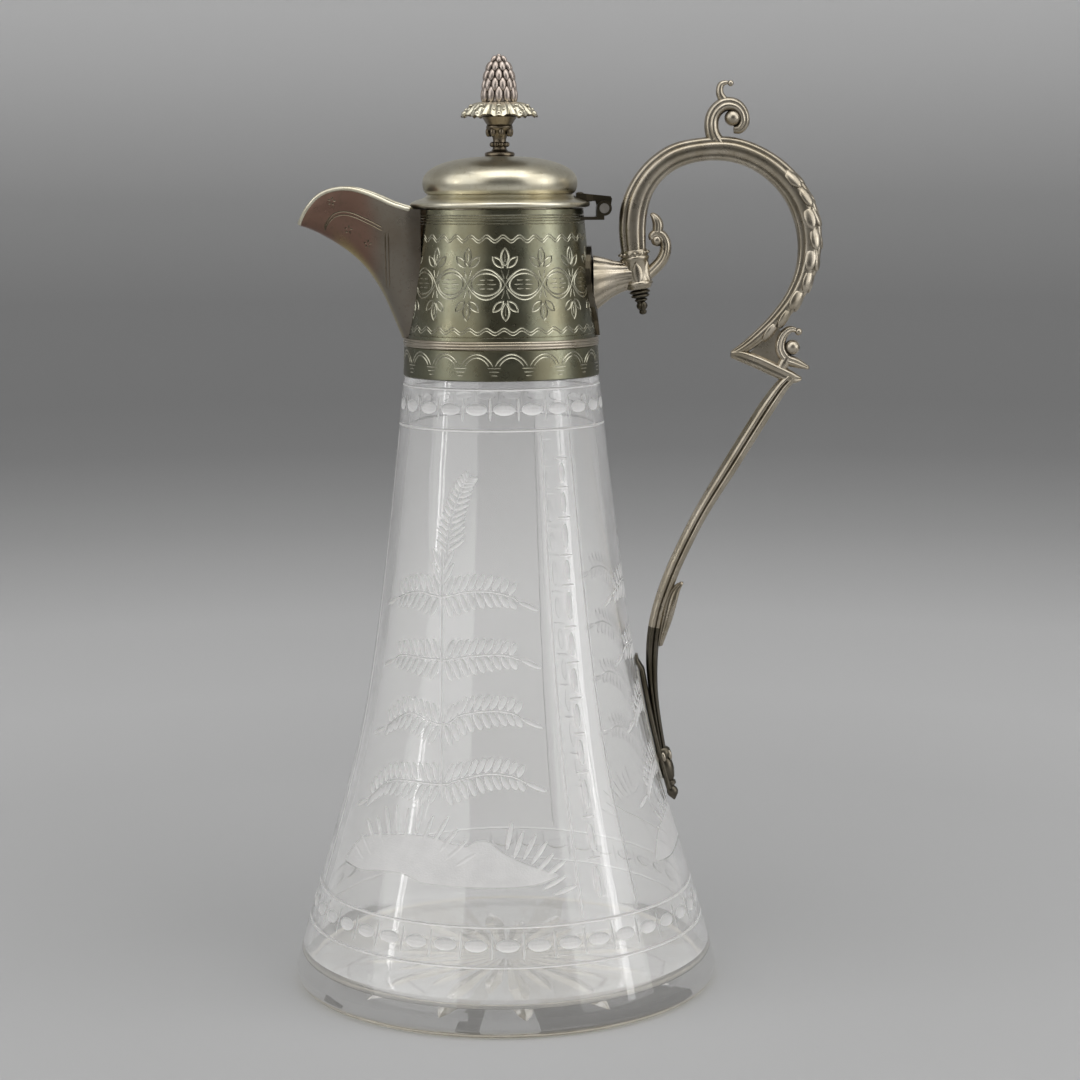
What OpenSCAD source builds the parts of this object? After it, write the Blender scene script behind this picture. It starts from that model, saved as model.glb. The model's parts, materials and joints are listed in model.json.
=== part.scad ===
// Claret jug: a cut-glass cone with a plated collar, beak spout, hinged lid and cast scroll handle.
// Millimetres, +Z up, origin at the middle of the base. The spout points to -X, the handle to +X.

/* [Glass body] */
// Largest radius of the glass, just above the base roll
base_r = 66.9; // [64:0.1:70]
// Height of the shoulder that carries the collar
shoulder_z = 192; // [190:0.5:193]
// Radius of the glass at the shoulder
shoulder_r = 30.3; // [30.2:0.1:31]
// Thickness of the wall
wall_t = 3; // [2:0.1:3.4]
// Thickness of the base
base_t = 7; // [5:0.1:9]
// Radius of the neck that stands inside the collar
neck_r = 28; // [27:0.1:28.2]
// Height of the neck above the shoulder
neck_h = 11; // [8:0.5:12]

/* [Collar] */
// Height of the collar's top edge
collar_top_z = 243; // [242.6:0.1:243]
// Radius of the collar at its top edge
collar_top_r = 25.65; // [25.4:0.05:26]
// Radius of the collar at its lower, upright part
collar_low_r = 29.5; // [29.4:0.05:29.6]
// Thickness of the collar's sheet metal
sheet_t = 0.9; // [0.7:0.1:1]
// Height where the cone of the collar starts
moulding_top_z = 203.8; // [203:0.1:205]
// Height of the foot band
foot_band_h = 9.3; // [9:0.1:10]

/* [Spout] */
// Length of the spout from the jug's axis to its tip
spout_reach = 61.8; // [60:0.1:63]
// Thickness of the spout's sheet metal
spout_t = 1; // [0.8:0.1:1.2]

/* [Lid] */
// Largest radius of the dome
dome_r = 23.85; // [23.5:0.05:24.2]
// Height of the dome above its widest line
dome_h = 8.2; // [7:0.1:9]
// Height of the dome's widest line
dome_z = 250.8; // [250.4:0.1:251]
// Gap between the closed lid and the collar
lid_gap = 0.3; // [0.2:0.05:0.5]

/* [Hinge] */
// Distance of the hinge pin from the jug's axis
pin_x = 31.9; // [31.5:0.1:32.4]
// Height of the hinge pin
pin_z = 243; // [242.8:0.1:243.2]
// Radius of the hinge pin
pin_r = 1; // [0.9:0.05:1.2]
// Radius of the hinge barrel
barrel_r = 2.3; // [2.1:0.1:2.4]
// Width of the whole barrel
barrel_w = 16; // [14:0.5:18]
// Width of the middle knuckle
knuckle_w = 5.7; // [5:0.1:6]

/* [Finial] */
// Height of the finial's tip above the base
jug_h = 290; // [288:0.5:292]
// Reach of the rosette's leaves
rosette_r = 12.3; // [11.6:0.1:12.8]
// Number of leaves round the rosette
leaf_count = 8; // [6:1:10]

/* [Handle] */
// Radius of the ferrule at its beads
ferrule_r = 4.6; // [4.4:0.05:5]
// Lean of the ferrule, its top towards the jug
ferrule_lean = 8; // [0:1:10]
// Half width of the back plate
plate_half_w = 9; // [8:0.5:10]
// Thickness of the back plate
plate_t = 1.4; // [1:0.1:1.6]
// Thickness of the cement between the glass and the foot strap
cement_t = 0.5; // [0.3:0.1:0.8]

/* [Hidden] */
$fn = 96;

silver = [0.72, 0.71, 0.66];
tarnished = [0.52, 0.51, 0.42];
dark_silver = [0.42, 0.40, 0.36];
clear_glass = [0.85, 0.88, 0.88, 0.45];
plaster = [0.88, 0.86, 0.80];
brass = [0.72, 0.60, 0.35];

// Outer side of the glass: a cubic curve from the base roll to the shoulder
roll_r = 3;
side_start = [base_r, 5];
side_pull_1 = [45.9, 79.7];
side_pull_2 = [43.7, 66.5];
side_end = [shoulder_r, shoulder_z];
side_steps = 30;
floor_fillet = 4;

// Points of a cubic curve and of its normal, which points away from the axis
function cubic(p, t) = pow(1 - t, 3) * p[0] + 3 * pow(1 - t, 2) * t * p[1]
    + 3 * (1 - t) * t * t * p[2] + pow(t, 3) * p[3];
function cubic_slope(p, t) = 3 * pow(1 - t, 2) * (p[1] - p[0])
    + 6 * (1 - t) * t * (p[2] - p[1]) + 3 * t * t * (p[3] - p[2]);
function outward(d) = [d[1], -d[0]] / norm(d);
side_curve = [side_start, side_pull_1, side_pull_2, side_end];
function glass_side(t, offset = 0) =
    cubic(side_curve, t) + offset * outward(cubic_slope(side_curve, t));
function arc(centre, r, from, to, steps) =
    [for (i = [0:steps]) let (a = from + (to - from) * i / steps) centre + r * [cos(a), sin(a)]];

// Smooth curve through stations [x, z, half width, half depth], which all lie in the XZ plane
function spline(s, i, t) =
    let (a = s[max(i - 1, 0)], b = s[i], c = s[i + 1], d = s[min(i + 2, len(s) - 1)])
    0.5 * (2 * b + (c - a) * t + (2 * a - 5 * b + 4 * c - d) * t * t
        + (3 * b - a - 3 * c + d) * t * t * t);
function refine(s, k) =
    concat([for (i = [0:len(s) - 2], j = [0:k - 1]) spline(s, i, j / k)], [s[len(s) - 1]]);
function heading(p, i) =
    let (d = p[min(i + 1, len(p) - 1)] - p[max(i - 1, 0)]) [d[0], d[1]] / norm([d[0], d[1]]);
function section(p, i, sides, flute, upright) =
    let (h = upright ? [1, 0] : heading(p, i))
    [for (j = [0:sides - 1]) let (
        a = 360 * j / sides,
        f = 1 - flute * pow(sin(2 * a), 2),
        u = p[i][2] * f * cos(a),
        v = p[i][3] * f * sin(a)
    ) [p[i][0] - h[1] * u, v, p[i][1] + h[0] * u]];

// Bar of oval section that follows the stations. Flute hollows its four corners, and upright
// keeps its sections square to X.
module bar(stations, k = 3, sides = 12, flute = 0, upright = false) {
    p = refine(stations, k);
    last = len(p) - 1;
    points = [for (i = [0:last]) each section(p, i, sides, flute, upright)];
    faces = concat(
        [[for (j = [sides - 1:-1:0]) j]],
        [for (i = [0:last - 1], j = [0:sides - 1])
            [i * sides + j, i * sides + (j + 1) % sides,
             (i + 1) * sides + (j + 1) % sides, (i + 1) * sides + j]],
        [[for (j = [0:sides - 1]) last * sides + j]]
    );
    polyhedron(points = points, faces = faces, convexity = 6);
}

module bead(x, z, r) {
    translate([x, 0, z])
        sphere(r = r, $fn = 32);
}

// Glass
module glass_body() {
    inner_neck_r = neck_r - wall_t;
    inner_side = [for (i = [side_steps:-1:1]) let (q = glass_side(i / side_steps, -wall_t))
        if (q[1] > base_t + floor_fillet) q];
    floor_r = glass_side(0.03, -wall_t)[0];
    color(clear_glass)
        rotate_extrude()
            polygon(concat(
                [[0, 0]],
                arc([base_r - roll_r, roll_r], roll_r, -90, 0, 6),
                [for (i = [0:side_steps]) glass_side(i / side_steps)],
                [[neck_r, shoulder_z]],
                arc([neck_r - 1, shoulder_z + neck_h - 1], 1, 0, 90, 3),
                arc([inner_neck_r + 1, shoulder_z + neck_h - 1], 1, 90, 180, 3),
                inner_side,
                arc([floor_r - floor_fillet, base_t + floor_fillet], floor_fillet, 0, -90, 6),
                [[0, base_t]]
            ));
}

module plaster_bed() {
    color(plaster)
        translate([0, 0, shoulder_z])
            difference() {
                cylinder(r = collar_low_r - sheet_t, h = neck_h - 1);
                translate([0, 0, -1])
                    cylinder(r = neck_r, h = neck_h + 1);
            }
}

// Collar: an upright foot, then a cone
cone_foot_r = collar_low_r - 0.25;
function collar_r(z) =
    cone_foot_r + (collar_top_r - cone_foot_r) * (z - moulding_top_z) / (collar_top_z - moulding_top_z);

module collar_cone(z1, z2, grow) {
    translate([0, 0, z1])
        cylinder(r1 = collar_r(z1) + grow, r2 = collar_r(z2) + grow, h = z2 - z1);
}

// Outline of the opening behind the spout, seen along X
opening_low_z = 209;
opening_top_z = 239;
opening_half_w = 10;
module spout_opening() {
    translate([-40, 0, 0])
        rotate([90, 0, 90])
            linear_extrude(height = 30)
                polygon(concat(
                    [[-1.5, opening_low_z], [1.5, opening_low_z]],
                    [for (i = [1:6]) [1.5 + (opening_half_w - 1.5) * sin(15 * i),
                        opening_top_z - 4 - 22 * cos(15 * i)]],
                    arc([opening_half_w - 4, opening_top_z - 4], 4, 0, 90, 4),
                    arc([4 - opening_half_w, opening_top_z - 4], 4, 90, 180, 4),
                    [for (i = [6:-1:1]) [-1.5 - (opening_half_w - 1.5) * sin(15 * i),
                        opening_top_z - 4 - 22 * cos(15 * i)]]
                ));
}

module collar_sleeve() {
    color(tarnished)
        difference() {
            rotate_extrude()
                polygon([
                    [collar_low_r, shoulder_z], [collar_low_r, moulding_top_z],
                    [cone_foot_r, moulding_top_z], [collar_top_r, collar_top_z],
                    [collar_top_r - sheet_t, collar_top_z], [cone_foot_r - sheet_t, moulding_top_z],
                    [collar_low_r - sheet_t, moulding_top_z - 2], [collar_low_r - sheet_t, shoulder_z]
                ]);
            spout_opening();
        }
}

module collar_foot_band() {
    band_low_r = 30.4;
    band_top_r = 30.1;
    color(tarnished)
        rotate_extrude()
            polygon(concat(
                [[collar_low_r, shoulder_z], [band_low_r - 0.3, shoulder_z]],
                arc([band_low_r - 0.3, shoulder_z + 0.3], 0.3, -45, 0, 2),
                [[band_top_r, shoulder_z + foot_band_h - 0.3], [band_top_r - 0.3, shoulder_z + foot_band_h],
                 [collar_low_r, shoulder_z + foot_band_h]]
            ));
}

module collar_moulding_ring() {
    ring_low_z = shoulder_z + foot_band_h;
    half_h = (moulding_top_z - ring_low_z) / 2;
    color(silver)
        rotate_extrude()
            polygon(concat(
                [[collar_low_r, ring_low_z]],
                [for (i = [0:10]) let (a = -80 + 16 * i)
                    [collar_low_r + 0.25 + 0.6 * cos(a), ring_low_z + half_h * (1 + sin(a))]],
                [[collar_low_r, moulding_top_z]]
            ));
}

// Ring inside the top of the collar, which guides the lid's bezel
seat_inner_r = 23.6;
seat_h = 2.4;
module collar_rim_seat() {
    color(silver)
        difference() {
            collar_cone(collar_top_z - seat_h, collar_top_z, -sheet_t);
            translate([0, 0, collar_top_z - seat_h - 1])
                cylinder(r = seat_inner_r, h = seat_h + 2);
        }
}

// Spout stations: [x, top edge z, keel z, half width]
spout_stations = [
    [-24, 243, 186, 12.6], [-27.5, 243.3, 195.5, 12.2], [-30, 244, 202, 11.7],
    [-33, 245, 209.5, 11], [-36.5, 246.6, 217.5, 10.1], [-41, 248.4, 224.5, 9],
    [-46, 249.6, 229.5, 7.9], [-51, 249.3, 233, 6.8], [-55.5, 247.4, 235.6, 5.6],
    [-59, 243.8, 237.2, 4], [-61, 240.4, 237.9, 2.4], [-spout_reach, 238.7, 238.1, 1.1]
];
spout_arc = 12;

// Trough section at one station, moved inwards by in; power sets how full the U is
function trough(s, in) =
    [for (j = [0:spout_arc]) let (
        a = -90 + 180 * j / spout_arc,
        w = max(s[3] - in, 0.35),
        h = max(s[1] - s[2] - in, 0.3)
    ) [s[0], w * sign(a) * pow(abs(sin(a)), 0.9), s[1] - h * pow(cos(a), 0.8)]];

module trough_solid(stations) {
    p = refine(stations, 2);
    n = 2 * (spout_arc + 1);
    last = len(p) - 1;
    points = [for (s = p) each concat(trough(s, 0), [for (j = [spout_arc:-1:0]) trough(s, spout_t)[j]])];
    polyhedron(
        points = points,
        faces = concat(
            [for (j = [0:spout_arc - 1]) [j + 1, j, n - 1 - j, n - 2 - j]],
            [for (i = [0:last - 1], j = [0:n - 1])
                [i * n + j, i * n + (j + 1) % n, (i + 1) * n + (j + 1) % n, (i + 1) * n + j]],
            [for (j = [0:spout_arc - 1]) let (m = last * n)
                [m + j, m + j + 1, m + n - 2 - j, m + n - 1 - j]]
        ),
        convexity = 8
    );
}

module spout() {
    color(silver)
        difference() {
            trough_solid(spout_stations);
            collar_cone(moulding_top_z, 262, 0);
            translate([0, 0, 180])
                cylinder(r = 30.5, h = moulding_top_z - 180);
        }
}

// Hinge
module along_pin(r, from_y, to_y) {
    translate([pin_x, to_y, pin_z])
        rotate([90, 0, 0])
            cylinder(r = r, h = to_y - from_y);
}

module collar_hinge_leaf() {
    gap_y = knuckle_w / 2 + 0.15;
    leaf_low_z = 239.5;
    leaf_top_z = 240.4;
    color(silver)
        difference() {
            union() {
                translate([20, -barrel_w / 2, leaf_low_z])
                    cube([pin_x - 20, barrel_w, leaf_top_z - leaf_low_z]);
                for (side = [-1, 1])
                    translate([pin_x - barrel_r, side > 0 ? gap_y : -barrel_w / 2, leaf_low_z])
                        cube([barrel_r, barrel_w / 2 - gap_y, pin_z - leaf_low_z]);
                along_pin(barrel_r, -barrel_w / 2, -gap_y);
                along_pin(barrel_r, gap_y, barrel_w / 2);
            }
            along_pin(pin_r, -barrel_w, barrel_w);
            collar_cone(moulding_top_z, collar_top_z, 0);
        }
}

module hinge_pin() {
    head_r = 1.5;
    head_t = 0.5;
    color(dark_silver) {
        along_pin(pin_r, -barrel_w / 2, barrel_w / 2);
        along_pin(head_r, -barrel_w / 2 - head_t, -barrel_w / 2);
        along_pin(head_r, barrel_w / 2, barrel_w / 2 + head_t);
    }
}

// Lid
flange_low_z = collar_top_z + lid_gap;
flange_top_z = 247.6;
flange_r = 27.7;
flange_inner_r = 20.7;
dome_power = 2.3;
dome_foot_r = 22.3;

module flange_outline(inner_r) {
    polygon(concat(
        [[inner_r, flange_low_z + 1], [inner_r + 1.2, flange_low_z], [flange_r - 0.9, flange_low_z]],
        arc([flange_r - 0.9, flange_low_z + 1], 0.9, -50, 60, 5),
        [[26.4, 245.6], [24.7, 246], [23.3, 246.5], [22.6, 247.1], [dome_foot_r, flange_top_z],
         [inner_r, flange_top_z]]
    ));
}

module lid_flange() {
    color(silver)
        rotate_extrude()
            flange_outline(flange_inner_r);
}

module lid_bezel() {
    bezel_h = 3.5;
    bezel_r = seat_inner_r - 0.7;
    color(silver)
        translate([0, 0, flange_low_z - bezel_h])
            difference() {
                cylinder(r = bezel_r, h = bezel_h);
                translate([0, 0, -1])
                    cylinder(r = bezel_r - sheet_t, h = bezel_h + 2);
            }
}

function dome_points(t, steps) = [for (i = [0:steps]) let (a = 90 * i / steps)
    [(dome_r - t) * pow(cos(a), 2 / dome_power), dome_z + (dome_h - t) * pow(sin(a), 2 / dome_power)]];
function dome_tuck(t) = [for (i = [0:5]) let (a = 80 - 15 * i)
    [dome_foot_r + (dome_r - dome_foot_r) * cos(a) - t, dome_z - 3.25 * sin(a)]];

stud_r = 1.2;
module dome_shell() {
    steps = 16;
    outer = concat(dome_tuck(0), dome_points(0, steps));
    inner = concat(dome_tuck(sheet_t), dome_points(sheet_t, steps));
    rotate_extrude()
        polygon(concat(
            [[dome_foot_r, flange_top_z]],
            outer,
            [for (i = [len(inner) - 1:-1:0]) inner[i]],
            [[dome_foot_r - sheet_t, flange_top_z]]
        ));
}

// The spun dome is drawn as a side wall and a crown, which meet at the crown's edge
crown_r = 21;
module lid_dome() {
    color(silver)
        difference() {
            dome_shell();
            translate([0, 0, dome_z])
                cylinder(r = crown_r, h = dome_h + 1);
        }
}

module lid_crown() {
    color(silver)
        difference() {
            intersection() {
                dome_shell();
                translate([0, 0, dome_z])
                    cylinder(r = crown_r, h = dome_h + 1);
            }
            translate([0, 0, dome_z])
                cylinder(r = stud_r, h = dome_h + 1, $fn = 32);
        }
}

module lid_hinge_strap() {
    strap_half_w = 6;
    neck_half_w = knuckle_w / 2;
    color(silver)
        difference() {
            union() {
                intersection() {
                    rotate([90, 0, 0])
                        linear_extrude(height = 2 * strap_half_w, center = true)
                            polygon([
                                [23.4, 246], [23.4, 247.7], [34, 246.6], [34.4, 245.8], [34.1, 244],
                                [pin_x, pin_z], [29.7, 243.8], [29.3, 245.2], [26.4, 244.9]
                            ]);
                    translate([0, 0, 240])
                        linear_extrude(height = 10)
                            polygon([
                                [20, -strap_half_w], [26.5, -strap_half_w], [28.6, -neck_half_w],
                                [36, -neck_half_w], [36, neck_half_w], [28.6, neck_half_w],
                                [26.5, strap_half_w], [20, strap_half_w]
                            ]);
                }
                along_pin(barrel_r, -neck_half_w, neck_half_w);
            }
            along_pin(pin_r + 0.05, -barrel_w, barrel_w);
            rotate_extrude()
                flange_outline(flange_inner_r);
        }
}

module lid_rivets() {
    rivet_x = 24.6;
    rivet_y = 3.6;
    head_z = 247.2;
    color(dark_silver)
        for (side = [-1, 1])
            translate([rivet_x, side * rivet_y, 0])
                rotate_extrude($fn = 32)
                    polygon(concat(
                        [[0, flange_low_z + 0.8], [0.8, flange_low_z + 0.8], [0.8, head_z]],
                        [for (a = [0:22.5:90]) [1.3 * cos(a), head_z + 0.8 * sin(a)]]
                    ));
}

// Finial
stem_low_z = dome_z + dome_h;
rosette_low_z = 270.8;
bud_low_z = 275.6;
module finial_stem() {
    color(silver)
        rotate_extrude()
            polygon([
                [stud_r, stem_low_z - 0.02], [4.4, stem_low_z - 0.02], [4.6, stem_low_z + 0.3],
                [4.6, stem_low_z + 0.9], [4.2, stem_low_z + 1.3], [2.6, stem_low_z + 1.6],
                [2.1, stem_low_z + 2.2], [2.2, 261.8], [2.35, 262.4], [2.2, 263], [2, 263.6],
                [2.3, 264.8], [2.8, 266], [3.4, 266.8], [3.9, 267.3], [4.1, 267.8], [3.9, 268.3],
                [4.2, 269], [4.8, 270], [5.4, rosette_low_z], [stud_r, rosette_low_z]
            ]);
}

module finial_rosette() {
    lobe_r = 4.1;
    color(silver)
        intersection() {
            rotate_extrude()
                polygon([
                    [stud_r, rosette_low_z], [6.2, rosette_low_z], [8.4, 271.3], [10, 271.1],
                    [11.2, 270.4], [rosette_r, 270.7], [rosette_r, 271.7], [10.9, 272.8],
                    [8.6, 274.2], [6.8, bud_low_z], [stud_r, bud_low_z]
                ]);
            translate([0, 0, 265])
                linear_extrude(height = 15)
                    union() {
                        circle(r = rosette_r - lobe_r + 1);
                        for (i = [0:leaf_count - 1])
                            rotate(360 * i / leaf_count)
                                translate([rosette_r - lobe_r, 0])
                                    circle(r = lobe_r, $fn = 32);
                    }
        }
}

// Bud: rows of round seeds on a tapering core, as rings here
bud_rows = 5;
function bud_r(f) = 5.6 - 2.7 * pow(f, 1.9);
module finial_bud() {
    row_h = (jug_h - 2.4 - bud_low_z) / bud_rows;
    color(silver)
        difference() {
            rotate_extrude()
                polygon(concat(
                    [[0, bud_low_z]],
                    [for (row = [0:bud_rows - 1], i = [0:4]) let (a = -70 + 35 * i)
                        [bud_r((row + 0.5) / bud_rows) - 0.8 + 0.8 * cos(a),
                         bud_low_z + row_h * (row + 0.5 + 0.47 * sin(a))]],
                    [[2.3, jug_h - 1.9], [1.3, jug_h - 0.6], [0, jug_h]]
                ));
            translate([0, 0, bud_low_z - 1])
                cylinder(r = stud_r, h = 5, $fn = 32);
        }
}

stud_low_z = 253.8;
module finial_stud() {
    color(brass)
        translate([0, 0, stud_low_z])
            cylinder(r = stud_r, h = bud_low_z + 4 - stud_low_z, $fn = 32);
}

washer_top_z = 257.95;
washer_t = 0.8;
module finial_washer() {
    color(brass)
        translate([0, 0, washer_top_z - washer_t])
            difference() {
                cylinder(r = 4, h = washer_t, $fn = 48);
                translate([0, 0, -1])
                    cylinder(r = stud_r, h = washer_t + 2, $fn = 32);
            }
}

module finial_nut() {
    nut_h = 2.3;
    color(brass)
        translate([0, 0, washer_top_z - washer_t - nut_h])
            difference() {
                cylinder(r = 2.9, h = nut_h, $fn = 6);
                translate([0, 0, -1])
                    cylinder(r = stud_r, h = nut_h + 2, $fn = 32);
            }
}

// Handle. Its stations are [x, z, half width, half depth] on the jug's middle plane
ferrule_x = 41.9;
ferrule_mid_z = 224;
ferrule_half_h = 6.1;

// Shield of metal that is soldered to the collar
module handle_back_plate() {
    color(dark_silver)
        intersection() {
            difference() {
                collar_cone(moulding_top_z, 236, plate_t);
                collar_cone(moulding_top_z, collar_top_z, 0);
            }
            translate([20, 0, 0])
                rotate([90, 0, 90])
                    linear_extrude(height = 20)
                        polygon(concat(
                            [[0, moulding_top_z + 0.1], [3, 208.5], [7.2, 213]],
                            [for (i = [0:8]) let (a = -20 + 13.75 * i)
                                [plate_half_w * cos(a), 221 + 10.5 * sin(a)]],
                            [for (i = [8:-1:0]) let (a = -20 + 13.75 * i)
                                [-plate_half_w * cos(a), 221 + 10.5 * sin(a)]],
                            [[-7.2, 213], [-3, 208.5]]
                        ));
        }
}

module handle_bracket() {
    color(silver)
        difference() {
            bar([
                [28.6, 216.2, 12.4, 8], [30.2, 216.6, 11.6, 7.4], [32.6, 218.8, 8.8, 6.2],
                [35.4, 220.7, 6.4, 5.1], [38.4, 221.9, 4.7, 4.3], [40.4, 222.2, 4.3, 4]
            ], 3, 24, 0, true);
            collar_cone(moulding_top_z, 238, plate_t);
            on_ferrule()
                translate([0, 0, -8])
                    cylinder(r = ferrule_r - 0.45, h = 16);
        }
}

// Places its children on the leaning axis of the ferrule, whose middle is at the origin there
module on_ferrule() {
    translate([ferrule_x, 0, ferrule_mid_z])
        rotate([0, -ferrule_lean, 0])
            children();
}

module handle_ferrule() {
    r = ferrule_r;
    color(silver)
        on_ferrule()
            rotate_extrude()
                polygon([
                    [0, -ferrule_half_h], [3.5, -ferrule_half_h], [4, -5.6], [4, -5.2], [r - 0.15, -4.8],
                    [r, -4.3], [r, -3.9], [r - 0.45, -3.5], [r - 0.45, 2.8], [r, 3.3], [r, 3.9],
                    [r - 0.35, 4.3], [r - 0.2, 4.7], [r - 0.2, 5.5], [4.1, ferrule_half_h], [0, ferrule_half_h]
                ]);
}

module handle_pendant() {
    color(silver)
        on_ferrule()
            bar_on_axis([
                [0, 3.3], [0, 3], [0.15, 2.3], [0.4, 1.7], [0.6, 1.5], [0.9, 1.6], [1.3, 1.2], [1.6, 0.5]
            ], 1.05);
}

// Drop below the ferrule: pairs of sideways shift and radius, step apart
module bar_on_axis(rows, step) {
    stations = [for (i = [0:len(rows) - 1]) let (r = rows[i][1])
        [rows[i][0], -ferrule_half_h - step * i, r, 0.9 * r]];
    bar(stations, 3, 16);
}

module handle_inner_curl() {
    color(dark_silver) {
        bar([
            [44.2, 221.4, 1.3, 2], [47.6, 223.8, 1.3, 2.2], [50.4, 227, 1.3, 2.2],
            [51.6, 230.8, 1.25, 2], [50.9, 234.2, 1.2, 1.9], [48.7, 235.9, 1.1, 1.7],
            [46.9, 234.9, 1, 1.5], [47.2, 233.3, 0.9, 1.4]
        ], 3, 10);
        bar([[48.4, 235.8, 1.3, 1.8], [48.6, 238, 1.4, 2], [47.7, 240, 1, 1.4], [46.4, 241.3, 0.4, 0.6]], 3, 10);
        bead(48.3, 233, 1.7);
    }
}

loop_stations = [
    [41.1, 229.6, 3.9, 3.7], [40.7, 237, 4.2, 3.8], [41.5, 243.6, 4.2, 3.8],
    [44, 249.8, 3.9, 3.8], [48.4, 255.1, 3.8, 3.8], [54.2, 258.8, 3.8, 3.7],
    [61.8, 260.6, 3.6, 3.5], [70.4, 260.7, 3.8, 3.6], [78.4, 258.2, 3.8, 3.7],
    [85.4, 253.6, 3.9, 3.8], [91, 247.2, 4, 3.9], [94.4, 239.6, 4.1, 3.9],
    [95.4, 231.4, 3.7, 3.7], [94.2, 223, 3.3, 3.4], [90.6, 215.2, 2.8, 3],
    [85.3, 208.4, 2.4, 2.7], [80, 203.4, 2.1, 2.5], [75.5, 199.9, 1.7, 2.2], [71.6, 197.9, 1, 1.6]
];
module handle_upper_loop() {
    color(silver)
        bar(loop_stations, 4, 16, 0.1);
}

module handle_crest_scroll() {
    color(silver) {
        bar([
            [66.8, 262.2, 1.8, 2.2], [64.8, 265.4, 1.6, 2.2], [64.2, 269.2, 1.5, 2.2],
            [65.6, 272.8, 1.5, 2.1], [68.8, 275, 1.5, 2], [72.4, 274.6, 1.4, 1.9],
            [75, 272.2, 1.3, 1.8], [75.6, 269, 1.2, 1.7], [74.3, 266.6, 1.1, 1.6], [72, 266.4, 0.9, 1.4]
        ], 3, 10);
        bar([[69, 275, 1.5, 1.6], [67.5, 277.6, 1.2, 1.4], [67.9, 280.2, 1, 1.2], [70.2, 281, 0.8, 1]], 3, 10);
        bead(72.3, 270, 2.5);
        bead(70.8, 280.6, 0.95);
    }
}

module handle_loop_leaf() {
    color(silver)
        bar([
            [97.9, 241, 0.5, 0.7], [98.6, 236, 0.9, 2], [98.6, 230, 1.1, 3], [97.6, 224.6, 1.1, 3.1],
            [95.4, 219, 1.1, 2.9], [92.4, 213.8, 1.1, 2.6], [88.8, 209.2, 1, 2.1], [85.4, 206, 0.7, 1.2]
        ], 3, 12);
}

module handle_knee_bar() {
    color(silver)
        bar([
            [71, 197.8, 1.1, 1.8], [74, 197.4, 1.9, 2.5], [79.4, 195.4, 2.2, 2.8],
            [85.4, 192.6, 2.2, 2.8], [90.4, 190.4, 1.9, 2.6], [93.4, 190, 0.7, 1.5]
        ], 3, 12);
}

// Thin web that fills the corner between the loop's end, the knee bar and the curl
module knee_web() {
    web_half_t = 0.9;
    rotate([90, 0, 0])
        linear_extrude(height = 2 * web_half_t, center = true)
            polygon([
                [76.4, 197.6], [79.6, 200.6], [82.6, 203.4], [85.8, 206.2], [86.6, 204.6], [86.2, 202],
                [86, 199.4], [87.4, 196.6], [87.4, 193.6], [82, 195.2]
            ]);
}

module handle_knee_curl() {
    color(silver) {
        bar([
            [91.6, 205, 0.7, 1.1], [89.2, 205, 0.9, 1.4], [87.2, 202.6, 1.1, 1.7],
            [86.8, 199.4, 1.2, 1.9], [88.6, 196.6, 1.3, 2], [91.8, 195.2, 1.2, 1.9], [95.8, 193.4, 0.6, 1.1]
        ], 3, 10);
        bar([[89, 197.4, 1.6, 1.8], [87.6, 194.8, 2, 2.2], [86.4, 192.6, 1.6, 2]], 2, 10);
        knee_web();
        bead(90, 200, 2.2);
        bead(92.2, 204.6, 1.15);
    }
}

stem_stations = [
    [90, 190.6, 1.9, 2.3], [87, 187.6, 2.2, 2.6], [82.9, 181.8, 2.55, 2.8], [78.4, 174.7, 2.6, 2.8],
    [70.8, 162.4, 2.55, 2.7], [62.3, 148.5, 2.25, 2.5], [55.5, 135, 2.2, 2.4], [51.8, 126.2, 2.2, 2.4],
    [49.2, 118.6, 2.1, 2.3], [47.7, 112, 2.1, 2.3], [46.9, 105, 1.95, 2.2], [46.8, 98, 1.75, 2.1],
    [47.4, 90, 1.4, 2], [48.6, 81.5, 1.2, 1.9], [50.1, 72.8, 1.1, 1.8]
];
module handle_lower_stem() {
    color(silver)
        bar(stem_stations, 3, 12, 0.06);
}

module handle_lower_leaf() {
    color(silver)
        bar([
            [49.2, 105.6, 0.8, 0.9], [50.2, 110, 1.4, 1.9], [51.6, 115.4, 1.9, 2.4],
            [52.9, 120.6, 2, 2.2], [54.4, 124, 1.4, 1.4], [56.6, 126.3, 0.5, 0.6]
        ], 3, 12);
}

// Strips that lie along the glass below the stem, between two places on its side curve
pad_low = 0.37;
pad_top = 0.63;
strap_low = 0.34;
function beside_glass(lift, w, d, from, to, steps) = [for (i = [0:steps])
    let (q = glass_side(from + (to - from) * i / steps, lift)) [q[0], q[1], w, d]];

// Solid cone of the glass, grown by the lift, which the strips are cut back to
module glass_cone(lift) {
    rotate_extrude()
        polygon(concat([[0, 0]], [for (i = [0:side_steps]) glass_side(i / side_steps, lift)], [[0, shoulder_z]]));
}

module handle_cement_pad() {
    half_t = (cement_t - 0.04) / 2;
    color(plaster)
        difference() {
            bar(beside_glass(half_t + 0.02, half_t, 2.2, pad_low, pad_top, 8), 1, 12);
            glass_cone(0);
        }
}

module handle_foot_strap() {
    half_t = 1.1;
    tail = beside_glass(cement_t + half_t, half_t, 2.8, strap_low, pad_top, 10);
    curl = [[41.9, 101.4, 0.9, 2.6], [41.9, 103.4, 0.5, 1.9]];
    color(dark_silver)
        difference() {
            bar(concat(tail, curl), 1, 12);
            glass_cone(0.05);
        }
}

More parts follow.
